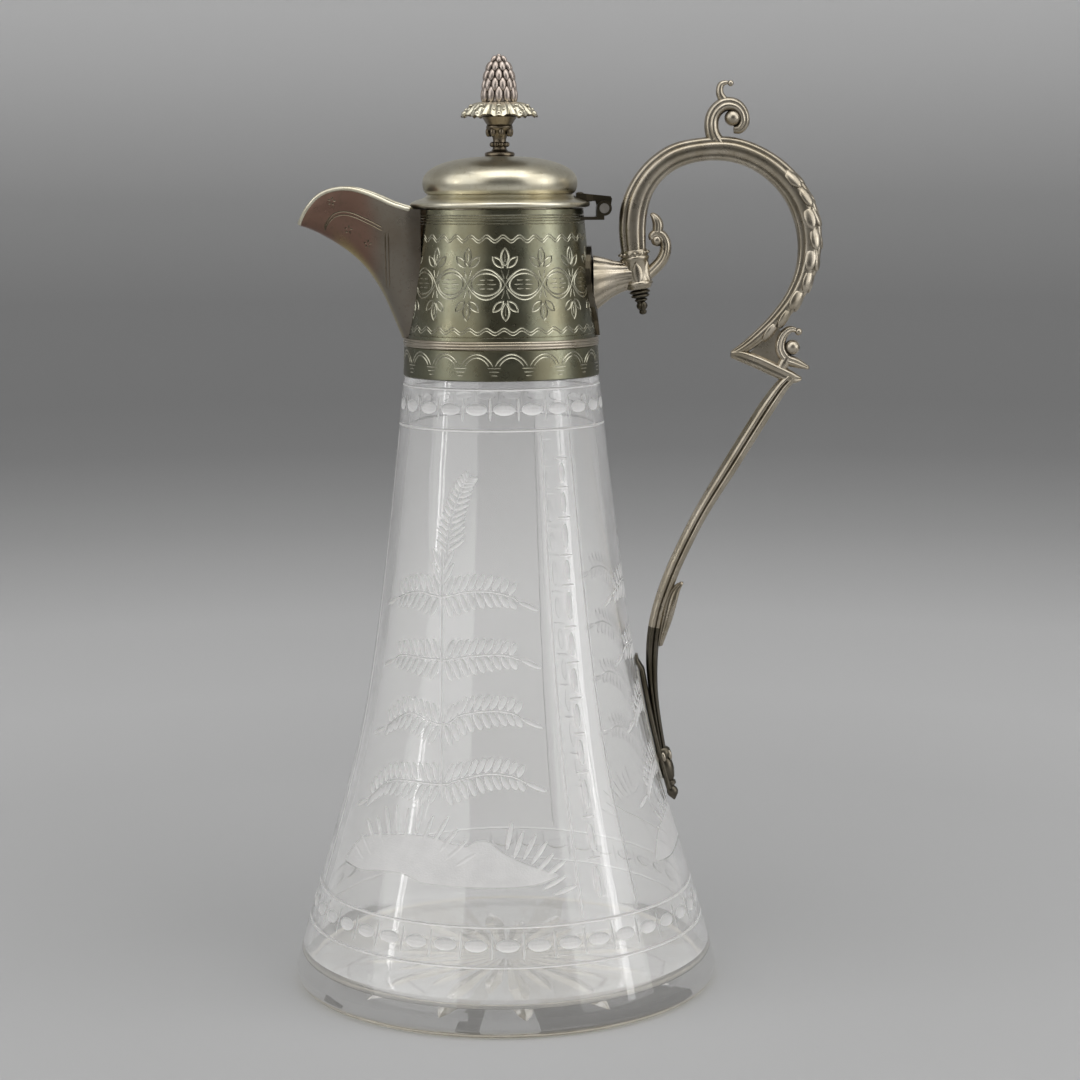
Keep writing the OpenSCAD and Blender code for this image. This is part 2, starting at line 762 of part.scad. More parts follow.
// Turned end of the foot, on an axis that leans with the glass
module handle_foot_end() {
    lean = 14;
    color(silver)
        difference() {
            translate([49.9, 0, 72.6])
                rotate([0, 180 - lean, 0])
                    rotate_extrude($fn = 48)
                        polygon([
                            [0, -0.4], [1.9, -0.4], [2.5, 0.3], [2.6, 2], [2.2, 2.7], [1.8, 3.2], [2.3, 4.4],
                            [2.4, 6.6], [1.9, 9.4], [1.3, 10.4], [1.8, 10.8], [1.8, 11.8], [1.2, 12.2],
                            [1.1, 12.6], [1.6, 13.2], [1.85, 14.2], [1.6, 15.2], [1, 16], [0.4, 16.8], [0, 17.1]
                        ]);
            glass_cone(0.05);
        }
}

glass_body();
plaster_bed();
collar_sleeve();
collar_foot_band();
collar_moulding_ring();
collar_rim_seat();
spout();
collar_hinge_leaf();
hinge_pin();
lid_hinge_strap();
lid_rivets();
lid_dome();
lid_crown();
lid_flange();
lid_bezel();
finial_stem();
finial_rosette();
finial_bud();
finial_stud();
finial_washer();
finial_nut();
handle_back_plate();
handle_bracket();
handle_ferrule();
handle_pendant();
handle_inner_curl();
handle_upper_loop();
handle_crest_scroll();
handle_loop_leaf();
handle_knee_bar();
handle_knee_curl();
handle_lower_stem();
handle_lower_leaf();
handle_foot_strap();
handle_foot_end();
handle_cement_pad();
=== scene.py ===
"""Looks of a cut-glass claret jug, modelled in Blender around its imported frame.

Shapes are worked out in millimetres and scaled to metres when a piece is finished. Azimuths are
degrees round the jug's axis, from the front (-Y) and growing towards the handle (+X).
"""

from __future__ import annotations

import json
import logging
import math
from contextlib import contextmanager
from dataclasses import dataclass, field, replace
from enum import Enum
from typing import Any, Callable, Iterable, Iterator, Sequence

import bmesh
import bpy
import numpy as np
from mathutils import Matrix, Vector
from mathutils.bvhtree import BVHTree
from mathutils.interpolate import poly_3d_calc

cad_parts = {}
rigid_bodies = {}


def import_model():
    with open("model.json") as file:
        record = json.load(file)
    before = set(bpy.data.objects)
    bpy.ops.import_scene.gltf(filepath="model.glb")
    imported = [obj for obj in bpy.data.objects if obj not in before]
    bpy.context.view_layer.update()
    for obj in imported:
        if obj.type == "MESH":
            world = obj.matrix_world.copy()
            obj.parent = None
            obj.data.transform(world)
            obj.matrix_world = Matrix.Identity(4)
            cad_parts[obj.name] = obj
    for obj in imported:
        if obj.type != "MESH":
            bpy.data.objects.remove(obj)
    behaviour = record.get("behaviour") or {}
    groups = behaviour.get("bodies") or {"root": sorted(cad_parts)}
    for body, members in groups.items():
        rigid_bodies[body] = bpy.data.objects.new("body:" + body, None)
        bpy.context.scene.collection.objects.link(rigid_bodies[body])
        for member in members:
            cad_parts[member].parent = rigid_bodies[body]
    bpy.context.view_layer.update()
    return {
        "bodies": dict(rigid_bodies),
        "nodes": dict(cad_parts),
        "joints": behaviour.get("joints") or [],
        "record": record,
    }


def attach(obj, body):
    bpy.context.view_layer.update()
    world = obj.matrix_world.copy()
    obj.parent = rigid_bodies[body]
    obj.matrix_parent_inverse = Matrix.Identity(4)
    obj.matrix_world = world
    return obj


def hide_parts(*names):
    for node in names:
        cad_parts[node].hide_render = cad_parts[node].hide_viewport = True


log = logging.getLogger("claret_jug")

MM = 0.001
ON_THE_FORM = 0.02
PHOTO_PIXELS = 1080
Colour = tuple[float, float, float]
Station = tuple[float, float, float, float]
Finish = bpy.types.Material
Point = tuple[float, float]


class Body(str, Enum):
    """The two bodies of the frame."""

    JUG = "jug"
    LID = "lid"


class Slot(str, Enum):
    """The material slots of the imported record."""

    GLASS = "cut_glass"
    PLATE = "plate"
    ENGRAVED = "engraved_plate"


def polar(radius: float, azimuth: float, height: float) -> Vector:
    """Returns the point at a radius, an azimuth in degrees and a height."""
    turn = math.radians(azimuth)
    return Vector((radius * math.sin(turn), -radius * math.cos(turn), height))


# Shader graphs


class Value:
    """A shader socket that takes part in Python arithmetic."""

    def __init__(self, graph: "Graph", socket: bpy.types.NodeSocket) -> None:
        """Wraps a socket of a graph."""
        self.graph = graph
        self.socket = socket

    def maths(self, operation: str, *others: Any) -> "Value":
        """Returns a Math node's result on this value and the others."""
        return self.graph.maths(operation, self, *others)

    def __add__(self, other: Any) -> "Value":
        """Returns self + other."""
        return self.maths("ADD", other)

    def __mul__(self, other: Any) -> "Value":
        """Returns self * other."""
        return self.maths("MULTIPLY", other)

    def __sub__(self, other: Any) -> "Value":
        """Returns self - other."""
        return self.maths("SUBTRACT", other)

    def __rsub__(self, other: Any) -> "Value":
        """Returns other - self."""
        return self.graph.maths("SUBTRACT", other, self)

    __radd__ = __add__
    __rmul__ = __mul__

    def above(self, edge: float, width: float) -> "Value":
        """Returns a soft mask that is 1 where this value lies above the edge."""
        inputs = {"Value": self, "From Min": edge - width / 2, "From Max": edge + width / 2}
        return self.graph.value("ShaderNodeMapRange", "Result", {"interpolation_type": "SMOOTHSTEP"}, inputs)


class Graph:
    """The node tree of one material."""

    def __init__(self, name: str) -> None:
        """Makes an empty material of that name."""
        self.material = bpy.data.materials.new(name)
        self.material.use_nodes = True
        self.tree = self.material.node_tree
        self.tree.nodes.clear()

    def node(self, kind: str, settings: dict[str, Any] | None = None, inputs: Any = None) -> Any:
        """Adds a node.

        Args:
            kind: The node's type.
            settings: Its properties, and for a ramp its stops as (place, colour) pairs.
            inputs: Values or links by socket name or number.

        Returns:
            The node.
        """
        made = self.tree.nodes.new(kind)
        for name, setting in (settings or {}).items():
            if name == "stops":
                self._set_stops(made.color_ramp, setting)
            else:
                setattr(made, name, setting)
        for key, given in (inputs or {}).items():
            self._plug(made.inputs[key], given)
        return made

    def _plug(self, socket: bpy.types.NodeSocket, given: Any) -> None:
        """Links a socket to a value or another socket, or sets it."""
        if isinstance(given, Value):
            self.tree.links.new(given.socket, socket)
        elif isinstance(given, bpy.types.NodeSocket):
            self.tree.links.new(given, socket)
        elif socket.type == "RGBA" and len(given) == 3:
            socket.default_value = (*given, 1.0)
        else:
            socket.default_value = given

    @staticmethod
    def _set_stops(ramp: Any, stops: Sequence[tuple[float, Colour]]) -> None:
        """Gives a ramp its stops."""
        while len(ramp.elements) < len(stops):
            ramp.elements.new(1.0)
        for element, (place, colour) in zip(ramp.elements, stops):
            element.position = place
            element.color = (*colour, 1.0)

    def value(self, kind: str, output: str, settings: Any = None, inputs: Any = None) -> Value:
        """Adds a node and returns one of its outputs."""
        return Value(self, self.node(kind, settings, inputs).outputs[output])

    def maths(self, operation: str, *terms: Any) -> Value:
        """Adds a Math node on the terms."""
        return self.value("ShaderNodeMath", "Value", {"operation": operation}, dict(enumerate(terms)))

    def mix(self, factor: Any, first: Any, second: Any) -> Value:
        """Mixes two colours by a factor."""
        mixer = self.node("ShaderNodeMix", {"data_type": "RGBA"})
        for index, given in ((0, factor), (6, first), (7, second)):
            self._plug(mixer.inputs[index], given)
        return Value(self, mixer.outputs[2])

    def place(self) -> Value:
        """Returns the object coordinates, in metres."""
        return self.value("ShaderNodeTexCoord", "Object")

    def noise(self, scale: float, detail: float) -> Value:
        """Returns a noise whose features are about 1/scale metres wide."""
        inputs = {"Vector": self.place(), "Scale": scale, "Detail": detail, "Roughness": 0.55}
        return self.value("ShaderNodeTexNoise", "Fac", None, inputs)

    def height(self) -> Value:
        """Returns the height above the table, in metres."""
        return self.value("ShaderNodeSeparateXYZ", "Z", None, {"Vector": self.place()})

    def bump(self, height: Any, strength: float, distance: float) -> Value:
        """Returns a normal raised by a height."""
        inputs = {"Height": height, "Strength": strength, "Distance": distance}
        return self.value("ShaderNodeBump", "Normal", None, inputs)

    def blend(self, factor: Any, first: Any, second: Any) -> Any:
        """Mixes two shaders by a factor and returns the Mix Shader."""
        return self.node("ShaderNodeMixShader", None, {0: factor, 1: first.outputs[0], 2: second.outputs[0]})

    def finish(self, shader: Any) -> Finish:
        """Sends a shader to the output and returns the material."""
        self.node("ShaderNodeOutputMaterial", None, {"Surface": shader.outputs[0]})
        return self.material


def lets_lamps_through(graph: Graph, shader: Any, share: float) -> Any:
    """Mixes in a transparent shader for shadow rays, so that lamps reach what is behind glass."""
    shadow = graph.value("ShaderNodeLightPath", "Is Shadow Ray")
    clear = graph.node("ShaderNodeBsdfTransparent", None, {"Color": (0.94, 0.95, 0.945)})
    return graph.blend(shadow * share, shader, clear)


# Finishes


@dataclass(frozen=True)
class Glass:
    """Clear flint glass with the slight waves of hand work, yellowish along its foot."""

    name: str = "clear_glass"
    tint: Colour = (0.985, 0.98, 0.975)
    foot_tint: Colour = (0.93, 0.84, 0.66)
    ior: float = 1.5
    roughness: float = 0.015
    clear: float = 0.88
    foot_height: float = 2.2

    def build(self) -> Finish:
        """Returns the material."""
        graph = Graph(self.name)
        waves = graph.bump(graph.noise(38, 2), 0.12, 0.0008)
        foot = 1 - graph.height().above(self.foot_height * MM, 0.002)
        inputs = {
            "Base Color": graph.mix(foot, self.tint, self.foot_tint),
            "Roughness": self.roughness,
            "IOR": self.ior,
            "Transmission Weight": self.clear,
            "Normal": waves,
        }
        shader = graph.node("ShaderNodeBsdfPrincipled", None, inputs)
        return graph.finish(lets_lamps_through(graph, shader, 0.96))


@dataclass(frozen=True)
class WheelCut:
    """The matt face that a cutting wheel leaves in glass, nearly clear where it is seen from inside."""

    name: str = "wheel_cut"
    tone: Colour = (0.88, 0.87, 0.86)
    roughness: float = 0.5
    clear: float = 0.45
    seen_through: float = 0.8

    def build(self) -> Finish:
        """Returns the material."""
        graph = Graph(self.name)
        grain = graph.noise(1900, 2)
        darker = tuple(0.9 * c for c in self.tone)
        tone = graph.mix(graph.noise(160, 3).above(0.5, 0.5), self.tone, darker)
        inputs = {
            "Base Color": tone,
            "Roughness": self.roughness,
            "IOR": 1.5,
            "Transmission Weight": self.clear,
            "Normal": graph.bump(grain, 0.3, 0.0003),
        }
        matt = graph.node("ShaderNodeBsdfPrincipled", None, inputs)
        inputs = {
            "Base Color": (0.98, 0.98, 0.975),
            "Roughness": 0.03,
            "IOR": 1.5,
            "Transmission Weight": 1.0,
        }
        clear = graph.node("ShaderNodeBsdfPrincipled", None, inputs)
        inside = graph.value("ShaderNodeNewGeometry", "Backfacing") * self.seen_through
        return graph.finish(lets_lamps_through(graph, graph.blend(inside, matt, clear), 0.6))


@dataclass(frozen=True)
class Plate:
    """Silver plate with warm tarnish in patches, and grime and painted shade in its hollows."""

    name: str
    tone: Colour
    tarnish: Colour
    patches: float
    roughness: float
    # Hollows darken towards this colour: grime, and painted shade.
    dirt_and_shade: Colour = (0.028, 0.022, 0.015)
    hollow_depth: float = 2.0
    dirt_and_shade_share: float = 0.85
    grain: float = 0.08

    def build(self) -> Finish:
        """Returns the material."""
        graph = Graph(self.name)
        cloud = graph.noise(75, 4).above(0.5, 0.34) * self.patches
        specks = graph.noise(900, 3).above(0.62, 0.12) * 0.35
        colour = self.shade(graph, graph.mix(cloud, self.tone, self.tarnish))
        colour = graph.mix(specks, colour, self.tarnish)
        # Ambient occlusion darkens the hollows: painted shade, together with their grime.
        settings = {"samples": 6, "only_local": True}
        reach = {"Distance": self.hollow_depth * MM}
        hollow = 1 - graph.value("ShaderNodeAmbientOcclusion", "AO", settings, reach)
        dirt_and_shade = hollow.above(0.44, 0.5) * self.dirt_and_shade_share
        colour = graph.mix(dirt_and_shade, colour, self.dirt_and_shade)
        rough = graph.noise(240, 3) * 0.16 + (self.roughness - 0.06) + dirt_and_shade * 0.3
        inputs = {
            "Base Color": colour,
            "Metallic": 1.0,
            "Roughness": rough,
            "Normal": graph.bump(graph.noise(1300, 3), self.grain, 0.0002),
        }
        return graph.finish(graph.node("ShaderNodeBsdfPrincipled", None, inputs))

    def shade(self, _graph: Graph, colour: Value) -> Value:
        """Returns the metal's colour, which a piece's own plate may change from place to place."""
        return colour


@dataclass(frozen=True)
class BeakPlate(Plate):
    """The spout's plate: copper showing through its sides, brass along its keel."""

    copper: Colour = (0.20, 0.115, 0.085)
    keel: Colour = (0.42, 0.34, 0.14)

    def shade(self, graph: Graph, colour: Value) -> Value:
        """Returns the metal's colour with the copper and the brass in their places.

        Args:
            graph: The material's graph.
            colour: The plate's own colour.

        Returns:
            The mixed colour.
        """
        place = graph.node("ShaderNodeSeparateXYZ", None, {"Vector": graph.place()})
        along, across = Value(graph, place.outputs["X"]), Value(graph, place.outputs["Y"])
        beyond = 1 - (along + graph.noise(60, 2) * 0.006).above(-0.0355, 0.008)
        colour = graph.mix(beyond * 0.85, colour, self.copper)
        low = (1 - across.maths("ABSOLUTE").above(0.0042, 0.004)) * along.above(-0.049, 0.008)
        return graph.mix(low * 0.8, colour, self.keel)


@dataclass(frozen=True)
class Plain:
    """A dull even stuff with a fine grain, such as set plaster or steel."""

    name: str
    tone: Colour
    metallic: float
    roughness: float

    def build(self) -> Finish:
        """Returns the material."""
        graph = Graph(self.name)
        dark = tuple(0.7 * c for c in self.tone)
        inputs = {
            "Base Color": graph.mix(graph.noise(400, 4), dark, self.tone),
            "Metallic": self.metallic,
            "Roughness": graph.noise(600, 2) * 0.2 + (self.roughness - 0.1),
            "Normal": graph.bump(graph.noise(1500, 3), 0.15, 0.0002),
        }
        return graph.finish(graph.node("ShaderNodeBsdfPrincipled", None, inputs))


@dataclass(frozen=True)
class Sweep:
    """The studio's floor and backdrop, with painted light and shade: pale underneath, darker round about,
    pale again above.

    A tone stands at each sum of the distance from the jug and the height, in metres. The part
    before the jug is painted dark, as shade for the metal to mirror, and glass sees the sweep
    glowing, without the shadows on it.
    """

    name: str = "studio_sweep"
    front: Colour = (0.12, 0.12, 0.12)
    tones: tuple[Point, ...] = (
        (0.0, 0.41), (0.13, 0.41), (0.3, 0.443), (0.45, 0.506), (0.67, 0.53), (0.9, 0.472),
        (1.13, 0.365), (1.29, 0.293), (1.45, 0.274), (1.75, 0.296), (2.04, 0.403), (2.26, 0.558),
        (2.42, 0.683), (2.56, 0.775),
    )
    span: float = 4.0
    unshadowed: float = 0.7

    def build(self) -> Finish:
        """Returns the material."""
        graph = Graph(self.name)
        flattened = {"Vector": graph.place(), "Scale": (1, 1, 0)}
        flat = graph.value("ShaderNodeMapping", "Vector", None, flattened)
        away = graph.value("ShaderNodeVectorMath", "Value", {"operation": "LENGTH"}, {0: flat})
        # The tones paint the fall of light over the floor and backdrop.
        stops = tuple((reach / self.span, (tone, tone, tone)) for reach, tone in self.tones)
        run = (away + graph.height()) * (1 / self.span)
        ramp = graph.node("ShaderNodeValToRGB", {"stops": stops}, {"Fac": run})
        # The part before the jug is painted dark, as shade for the metal to mirror.
        depth = graph.value("ShaderNodeSeparateXYZ", "Y", None, {"Vector": graph.place()})
        before = 1 - depth.above(-0.95, 0.7)
        upright = graph.height().above(0.14, 0.2) * (1 - graph.height().above(1.0, 0.7))
        colour = graph.mix(before * upright, ramp.outputs[0], self.front)
        inputs = {"Base Color": colour, "Roughness": 0.9, "Specular IOR Level": 0.2}
        lit = graph.node("ShaderNodeBsdfPrincipled", None, inputs)
        # Rays through glass see the sweep glowing, without its shadows.
        plain = graph.node("ShaderNodeEmission", None, {"Color": colour, "Strength": 0.95})
        through = graph.value("ShaderNodeLightPath", "Is Transmission Ray") * self.unshadowed
        return graph.finish(graph.blend(through, lit, plain))


# Shapes


@dataclass(frozen=True)
class Wall:
    """The outer side of a turned piece, as radii at heights."""

    radii: tuple[float, ...]
    heights: tuple[float, ...]

    def radius(self, height: float) -> float:
        """Returns the radius at a height."""
        return float(np.interp(height, self.heights, self.radii))

    def outward(self, azimuth: float, height: float) -> Vector:
        """Returns the direction that points away from the wall."""
        lean = self.radius(height + 0.5) - self.radius(height - 0.5)
        flat = polar(1.0, azimuth, 0.0)
        return Vector((flat.x, flat.y, -lean)).normalized()

    def point(self, azimuth: float, height: float, lift: float = 0.0) -> Vector:
        """Returns a point on the wall, or off it by the lift."""
        return polar(self.radius(height), azimuth, height) + lift * self.outward(azimuth, height)

    def frame(self, azimuth: float, height: float, turn: float = 0.0) -> Matrix:
        """Returns a frame on the wall: across, along and outwards, turned clockwise by degrees."""
        out = self.outward(azimuth, height)
        side = polar(1.0, azimuth + 90, 0.0)
        up = out.cross(side).normalized()
        angle = math.radians(turn)
        along = up * math.cos(angle) + side * math.sin(angle)
        across = along.cross(out)
        frame = Matrix((across, along, out)).transposed().to_4x4()
        frame.translation = self.point(azimuth, height)
        return frame

    def azimuth_step(self, height: float, arc: float) -> float:
        """Returns the degrees that an arc in millimetres spans at a height."""
        return math.degrees(arc / self.radius(height))


@dataclass(frozen=True)
class Cut:
    """One lens-shaped cut in a wall, in millimetres, turned clockwise from upright."""

    azimuth: float
    height: float
    length: float
    width: float
    depth: float
    turn: float = 0.0

    def beads(self, wall: Wall) -> np.ndarray:
        """Returns balls (x, y, z, radius) that cover the cut."""
        places = np.linspace(-0.45, 0.45, 7)
        frame = np.array(wall.frame(self.azimuth, self.height, self.turn))
        points = frame[:3, 3] + places[:, None] * self.length * frame[:3, 1]
        girth = self.width / 2 * np.sqrt(1 - (2 * places) ** 2)
        return np.concatenate([points, girth[:, None]], axis=1)


def in_layers(cuts: Sequence[Cut], wall: Wall, gap: float = 0.08) -> list[list[Cut]]:
    """Sorts cuts into layers within which none touches another.

    Args:
        cuts: The cuts.
        wall: The wall that they lie on.
        gap: The least gap between two cuts of a layer.

    Returns:
        The layers.
    """
    layers: list[tuple[list[Cut], list[np.ndarray]]] = []
    for cut in cuts:
        beads = cut.beads(wall)
        for members, taken in layers:
            others = np.concatenate(taken)
            apart = np.linalg.norm(beads[:, None, :3] - others[None, :, :3], axis=2)
            if (apart - beads[:, None, 3] - others[None, :, 3]).min() > gap:
                members.append(cut)
                taken.append(beads)
                break
        else:
            layers.append(([cut], [beads]))
    return [members for members, _ in layers]


def refine(stations: Sequence[Sequence[float]], steps: int) -> list[tuple[float, ...]]:
    """Returns stations on a smooth curve through the given ones, steps to each gap."""
    rows = [np.array(row, float) for row in stations]
    last = len(rows) - 1
    out = []
    for i in range(last):
        a, b, c, d = rows[max(i - 1, 0)], rows[i], rows[i + 1], rows[min(i + 2, last)]
        for k in range(steps):
            t = k / steps
            square, cube = 2 * a - 5 * b + 4 * c - d, 3 * b - a - 3 * c + d
            out.append(0.5 * (2 * b + (c - a) * t + square * t**2 + cube * t**3))
    out.append(rows[-1])
    return [tuple(float(v) for v in row) for row in out]


def arc(centre: Point, radius: float, start: float, end: float, steps: int) -> list[Point]:
    """Returns points along an arc between two angles in degrees, both ends included."""
    angles = np.radians(np.linspace(start, end, steps + 1))
    return [(centre[0] + radius * math.cos(a), centre[1] + radius * math.sin(a)) for a in angles]


def round_section(sides: int) -> list[Point]:
    """Returns a unit circle."""
    return [(math.cos(a), math.sin(a)) for a in np.arange(sides) * 2 * math.pi / sides]


def reeded_section(sides: int, valleys: Sequence[tuple[float, float, float]]) -> list[Point]:
    """Returns a unit circle with grooves.

    Args:
        sides: The number of its sides.
        valleys: The angle in degrees, the depth and the half width in degrees of each groove. Each
            is cut on both sides of the jug's middle plane.

    Returns:
        The points.
    """
    points = []
    for k in range(sides):
        angle = 360 * k / sides
        radius = 1.0
        for at, depth, half in valleys:
            for place in (at, 360 - at):
                off = abs((angle - place + 180) % 360 - 180)
                radius -= depth * math.exp(-((off / half) ** 2))
        points.append((radius * math.cos(math.radians(angle)), radius * math.sin(math.radians(angle))))
    return points


def spin_round(bm: bmesh.types.BMesh, geom: Sequence[Any], steps: int) -> None:
    """Spins vertices and edges once round the jug's axis."""
    bmesh.ops.spin(
        bm, geom=geom, cent=(0, 0, 0), axis=(0, 0, 1), angle=2 * math.pi, steps=steps, use_merge=True
    )


class Form:
    """A mesh under construction, in millimetres."""

    def __init__(self, name: str) -> None:
        """Starts an empty mesh."""
        self.name = name
        self.bm = bmesh.new()

    @contextmanager
    def patch(self, material: int, merge: bool = True) -> Iterator[bmesh.types.BMesh]:
        """Gives an empty mesh to shape, which is added to this one at the end.

        Args:
            material: The material slot of its faces.
            merge: Whether its doubles are merged and its faces turned outwards.

        Yields:
            The mesh.
        """
        part = bmesh.new()
        yield part
        if merge:
            bmesh.ops.remove_doubles(part, verts=part.verts[:], dist=0.0005)
            bmesh.ops.recalc_face_normals(part, faces=part.faces[:])
        for face in part.faces:
            face.material_index = material
        store = bpy.data.meshes.new("patch")
        part.to_mesh(store)
        part.free()
        self.bm.from_mesh(store)
        bpy.data.meshes.remove(store)

    def lathe(
        self, outline: Sequence[Point], steps: int, closed: bool = True, material: int = 0
    ) -> None:
        """Spins an outline of (radius, height) points about the jug's axis.

        Args:
            outline: The points. One that isn't closed starts and ends on the axis.
            steps: The number of flats round the piece.
            closed: Whether the outline's last point joins its first.
            material: The faces' material slot.
        """
        with self.patch(material) as bm:
            verts = [bm.verts.new((r, 0, z)) for r, z in outline]
            pairs = list(zip(verts, verts[1:])) + ([(verts[-1], verts[0])] if closed else [])
            geom = verts + [bm.edges.new(pair) for pair in pairs]
            spin_round(bm, geom, steps)

    def loft(
        self,
        rings: Sequence[Sequence[Vector]],
        closed: bool = False,
        tips: tuple[bool, bool] = (False, False),
        material: int = 0,
    ) -> None:
        """Skins rings that have the same number of points.

        Args:
            rings: The points of each ring.
            closed: Whether the last ring joins the first.
            tips: Whether each end closes in a point rather than a flat face.
            material: The faces' material slot.
        """
        with self.patch(material) as bm:
            count = len(rings[0])
            ring = bmesh.ops.create_circle(bm, cap_ends=False, segments=count, radius=1.0)["verts"]
            for vert, place in zip(ring, rings[0]):
                vert.co = place
            edges = list({e for v in ring for e in v.link_edges})
            first, first_edges = list(ring), list(edges)
            for places in rings[1:]:
                made = bmesh.ops.extrude_edge_only(bm, edges=edges)["geom"]
                new = {g for g in made if isinstance(g, bmesh.types.BMVert)}
                edges = [g for g in made if isinstance(g, bmesh.types.BMEdge) and new.issuperset(g.verts)]
                moved = ([e.other_vert(v) for e in v.link_edges] for v in ring)
                ring = [next(v for v in others if v in new) for others in moved]
                for vert, place in zip(ring, places):
                    vert.co = place
            if closed:
                bmesh.ops.bridge_loops(bm, edges=edges + first_edges)
                return
            for verts, rim, point in ((first, first_edges, tips[0]), (ring, edges, tips[1])):
                if point:
                    middle = sum((v.co for v in verts), Vector()) / len(verts)
                    bmesh.ops.pointmerge(bm, verts=verts, merge_co=middle)
                else:
                    bmesh.ops.edgeloop_fill(bm, edges=rim)

    def sweep(
        self,
        frames: Sequence[Matrix],
        section: Sequence[Point],
        closed: bool = False,
        tips: tuple[bool, bool] = (False, False),
        material: int = 0,
    ) -> None:
        """Draws a section along frames, whose axes also scale it."""
        rings = [[frame @ Vector((x, y, 0)) for x, y in section] for frame in frames]
        self.loft(rings, closed, tips, material)

    def bar(
        self,
        stations: Sequence[Sequence[float]],
        section: Sequence[Point],
        steps: int = 4,
        tips: tuple[bool, bool] = (False, False),
        upright: bool = False,
        material: int = 0,
    ) -> None:
        """Sweeps a section along stations in the jug's middle plane.

        Args:
            stations: Rows of x, z, half width in the plane and half depth across it.
            section: The unit section. Its 0 degrees lies on the left of the way.
            steps: The number of rings to each gap.
            tips: Whether each end closes in a point.
            upright: Whether the rings stand upright instead of square to the way.
            material: The faces' material slot.
        """
        rows = refine(stations, steps)
        frames = []
        for i, (x, z, half_w, half_d) in enumerate(rows):
            ahead, behind = rows[min(i + 1, len(rows) - 1)], rows[max(i - 1, 0)]
            way = Vector((ahead[0] - behind[0], 0, ahead[1] - behind[1])).normalized()
            if upright:
                way = Vector((1, 0, 0))
            inward = Vector((-way.z, 0, way.x))
            frame = Matrix((inward * half_w, Vector((0, half_d, 0)), way)).transposed().to_4x4()
            frame.translation = Vector((x, 0, z))
            frames.append(frame)
        self.sweep(frames, section, tips=tips, material=material)

    def pipe(self, course: Sequence[Vector], radius: float, sides: int = 12, material: int = 0) -> None:
        """Draws a round rod along points."""
        frames = []
        for i, place in enumerate(course):
            way = (course[min(i + 1, len(course) - 1)] - course[max(i - 1, 0)]).normalized()
            side = way.cross(Vector((0, 0, 1))).normalized()
            frame = Matrix((side * radius, side.cross(way) * radius, way)).transposed().to_4x4()
            frame.translation = place
            frames.append(frame)
        self.sweep(frames, round_section(sides), tips=(True, True), material=material)

    def ball(self, matrix: Matrix, around: int = 20, along: int = 12, material: int = 0) -> None:
        """Adds a ball of radius 1 that the matrix sizes and places."""
        with self.patch(material, merge=False) as bm:
            bmesh.ops.create_uvsphere(bm, u_segments=around, v_segments=along, radius=1.0, matrix=matrix)

    def bead(
        self, centre: Sequence[float], radii: float | Sequence[float], turn: float = 0.0, material: int = 0
    ) -> None:
        """Adds a ball or an egg, turned about Y by degrees."""
        sizes = (radii,) * 3 if isinstance(radii, (int, float)) else radii
        turned = Matrix.Rotation(math.radians(turn), 4, "Y")
        self.ball(Matrix.Translation(centre) @ turned @ Matrix.Diagonal((*sizes, 1)), material=material)

    def lens(self, wall: Wall, cut: Cut, sides: int = 8, rings: int = 6, material: int = 0) -> None:
        """Adds the lens that a cut takes out of a wall."""
        size = Matrix.Diagonal((cut.width / 2, cut.length / 2, cut.depth, 1))
        stand = Matrix.Rotation(math.radians(90), 4, "X")
        self.ball(wall.frame(cut.azimuth, cut.height, cut.turn) @ size @ stand, sides, rings, material)

    def stroke(
        self,
        wall: Wall,
        course: Sequence[Point],
        width: float,
        depth: float,
        closed: bool = False,
        material: int = 0,
    ) -> None:
        """Adds a V-bottomed groove's cutter along points on a wall.

        Args:
            wall: The wall, or anything else that has its point and outward methods.
            course: The points, as (azimuth, height) on a turned wall.
            width: The groove's width.
            depth: Its depth.
            closed: Whether the last point joins the first.
            material: The faces' material slot.
        """
        places = [wall.point(*at) for at in course]
        count = len(places)
        frames = []
        for i, place in enumerate(places):
            ahead = places[(i + 1) % count] if closed else places[min(i + 1, count - 1)]
            behind = places[i - 1] if closed or i else places[0]
            way = (ahead - behind).normalized()
            out = wall.outward(*course[i])
            out = (out - way * out.dot(way)).normalized()
            side = out.cross(way)
            end = 1.0 if closed or 0 < i < count - 1 else 0.35
            frame = Matrix((side * width / 2 * end, out * depth * end, way)).transposed().to_4x4()
            frame.translation = place
            frames.append(frame)
        self.sweep(frames, round_section(4), closed=closed, material=material)

    def sheet(
        self,
        across: int,
        along: int,
        shape: Callable[[float, float], Vector],
        thickness: float,
        material: int = 0,
    ) -> None:
        """Adds a grid bent to a shape and gives it a thickness.

        Args:
            across: The number of its squares one way.
            along: The number of its squares the other way.
            shape: The place of a point at (-1 to 1, 0 to 1).
            thickness: The thickness, outwards along the normal where it is negative.
            material: The faces' material slot.
        """
        with self.patch(material) as bm:
            for vert in bmesh.ops.create_grid(bm, x_segments=across, y_segments=along, size=1.0)["verts"]:
                vert.co = shape(vert.co.x, (vert.co.y + 1) / 2)
            bmesh.ops.solidify(bm, geom=bm.faces[:], thickness=thickness)

    def object(self, *materials: Finish) -> bpy.types.Object:
        """Turns the mesh into an object, still in millimetres, that wears the materials."""
        mesh = bpy.data.meshes.new(self.name)
        for material in materials:
            mesh.materials.append(material)
        self.bm.to_mesh(mesh)
        self.bm.free()
        return link(self.name, mesh)


def link(name: str, data: Any) -> bpy.types.Object:
    """Makes an object of a mesh, lamp or camera and links it to the scene."""
    made = bpy.data.objects.new(name, data)
    bpy.context.scene.collection.objects.link(made)
    return made


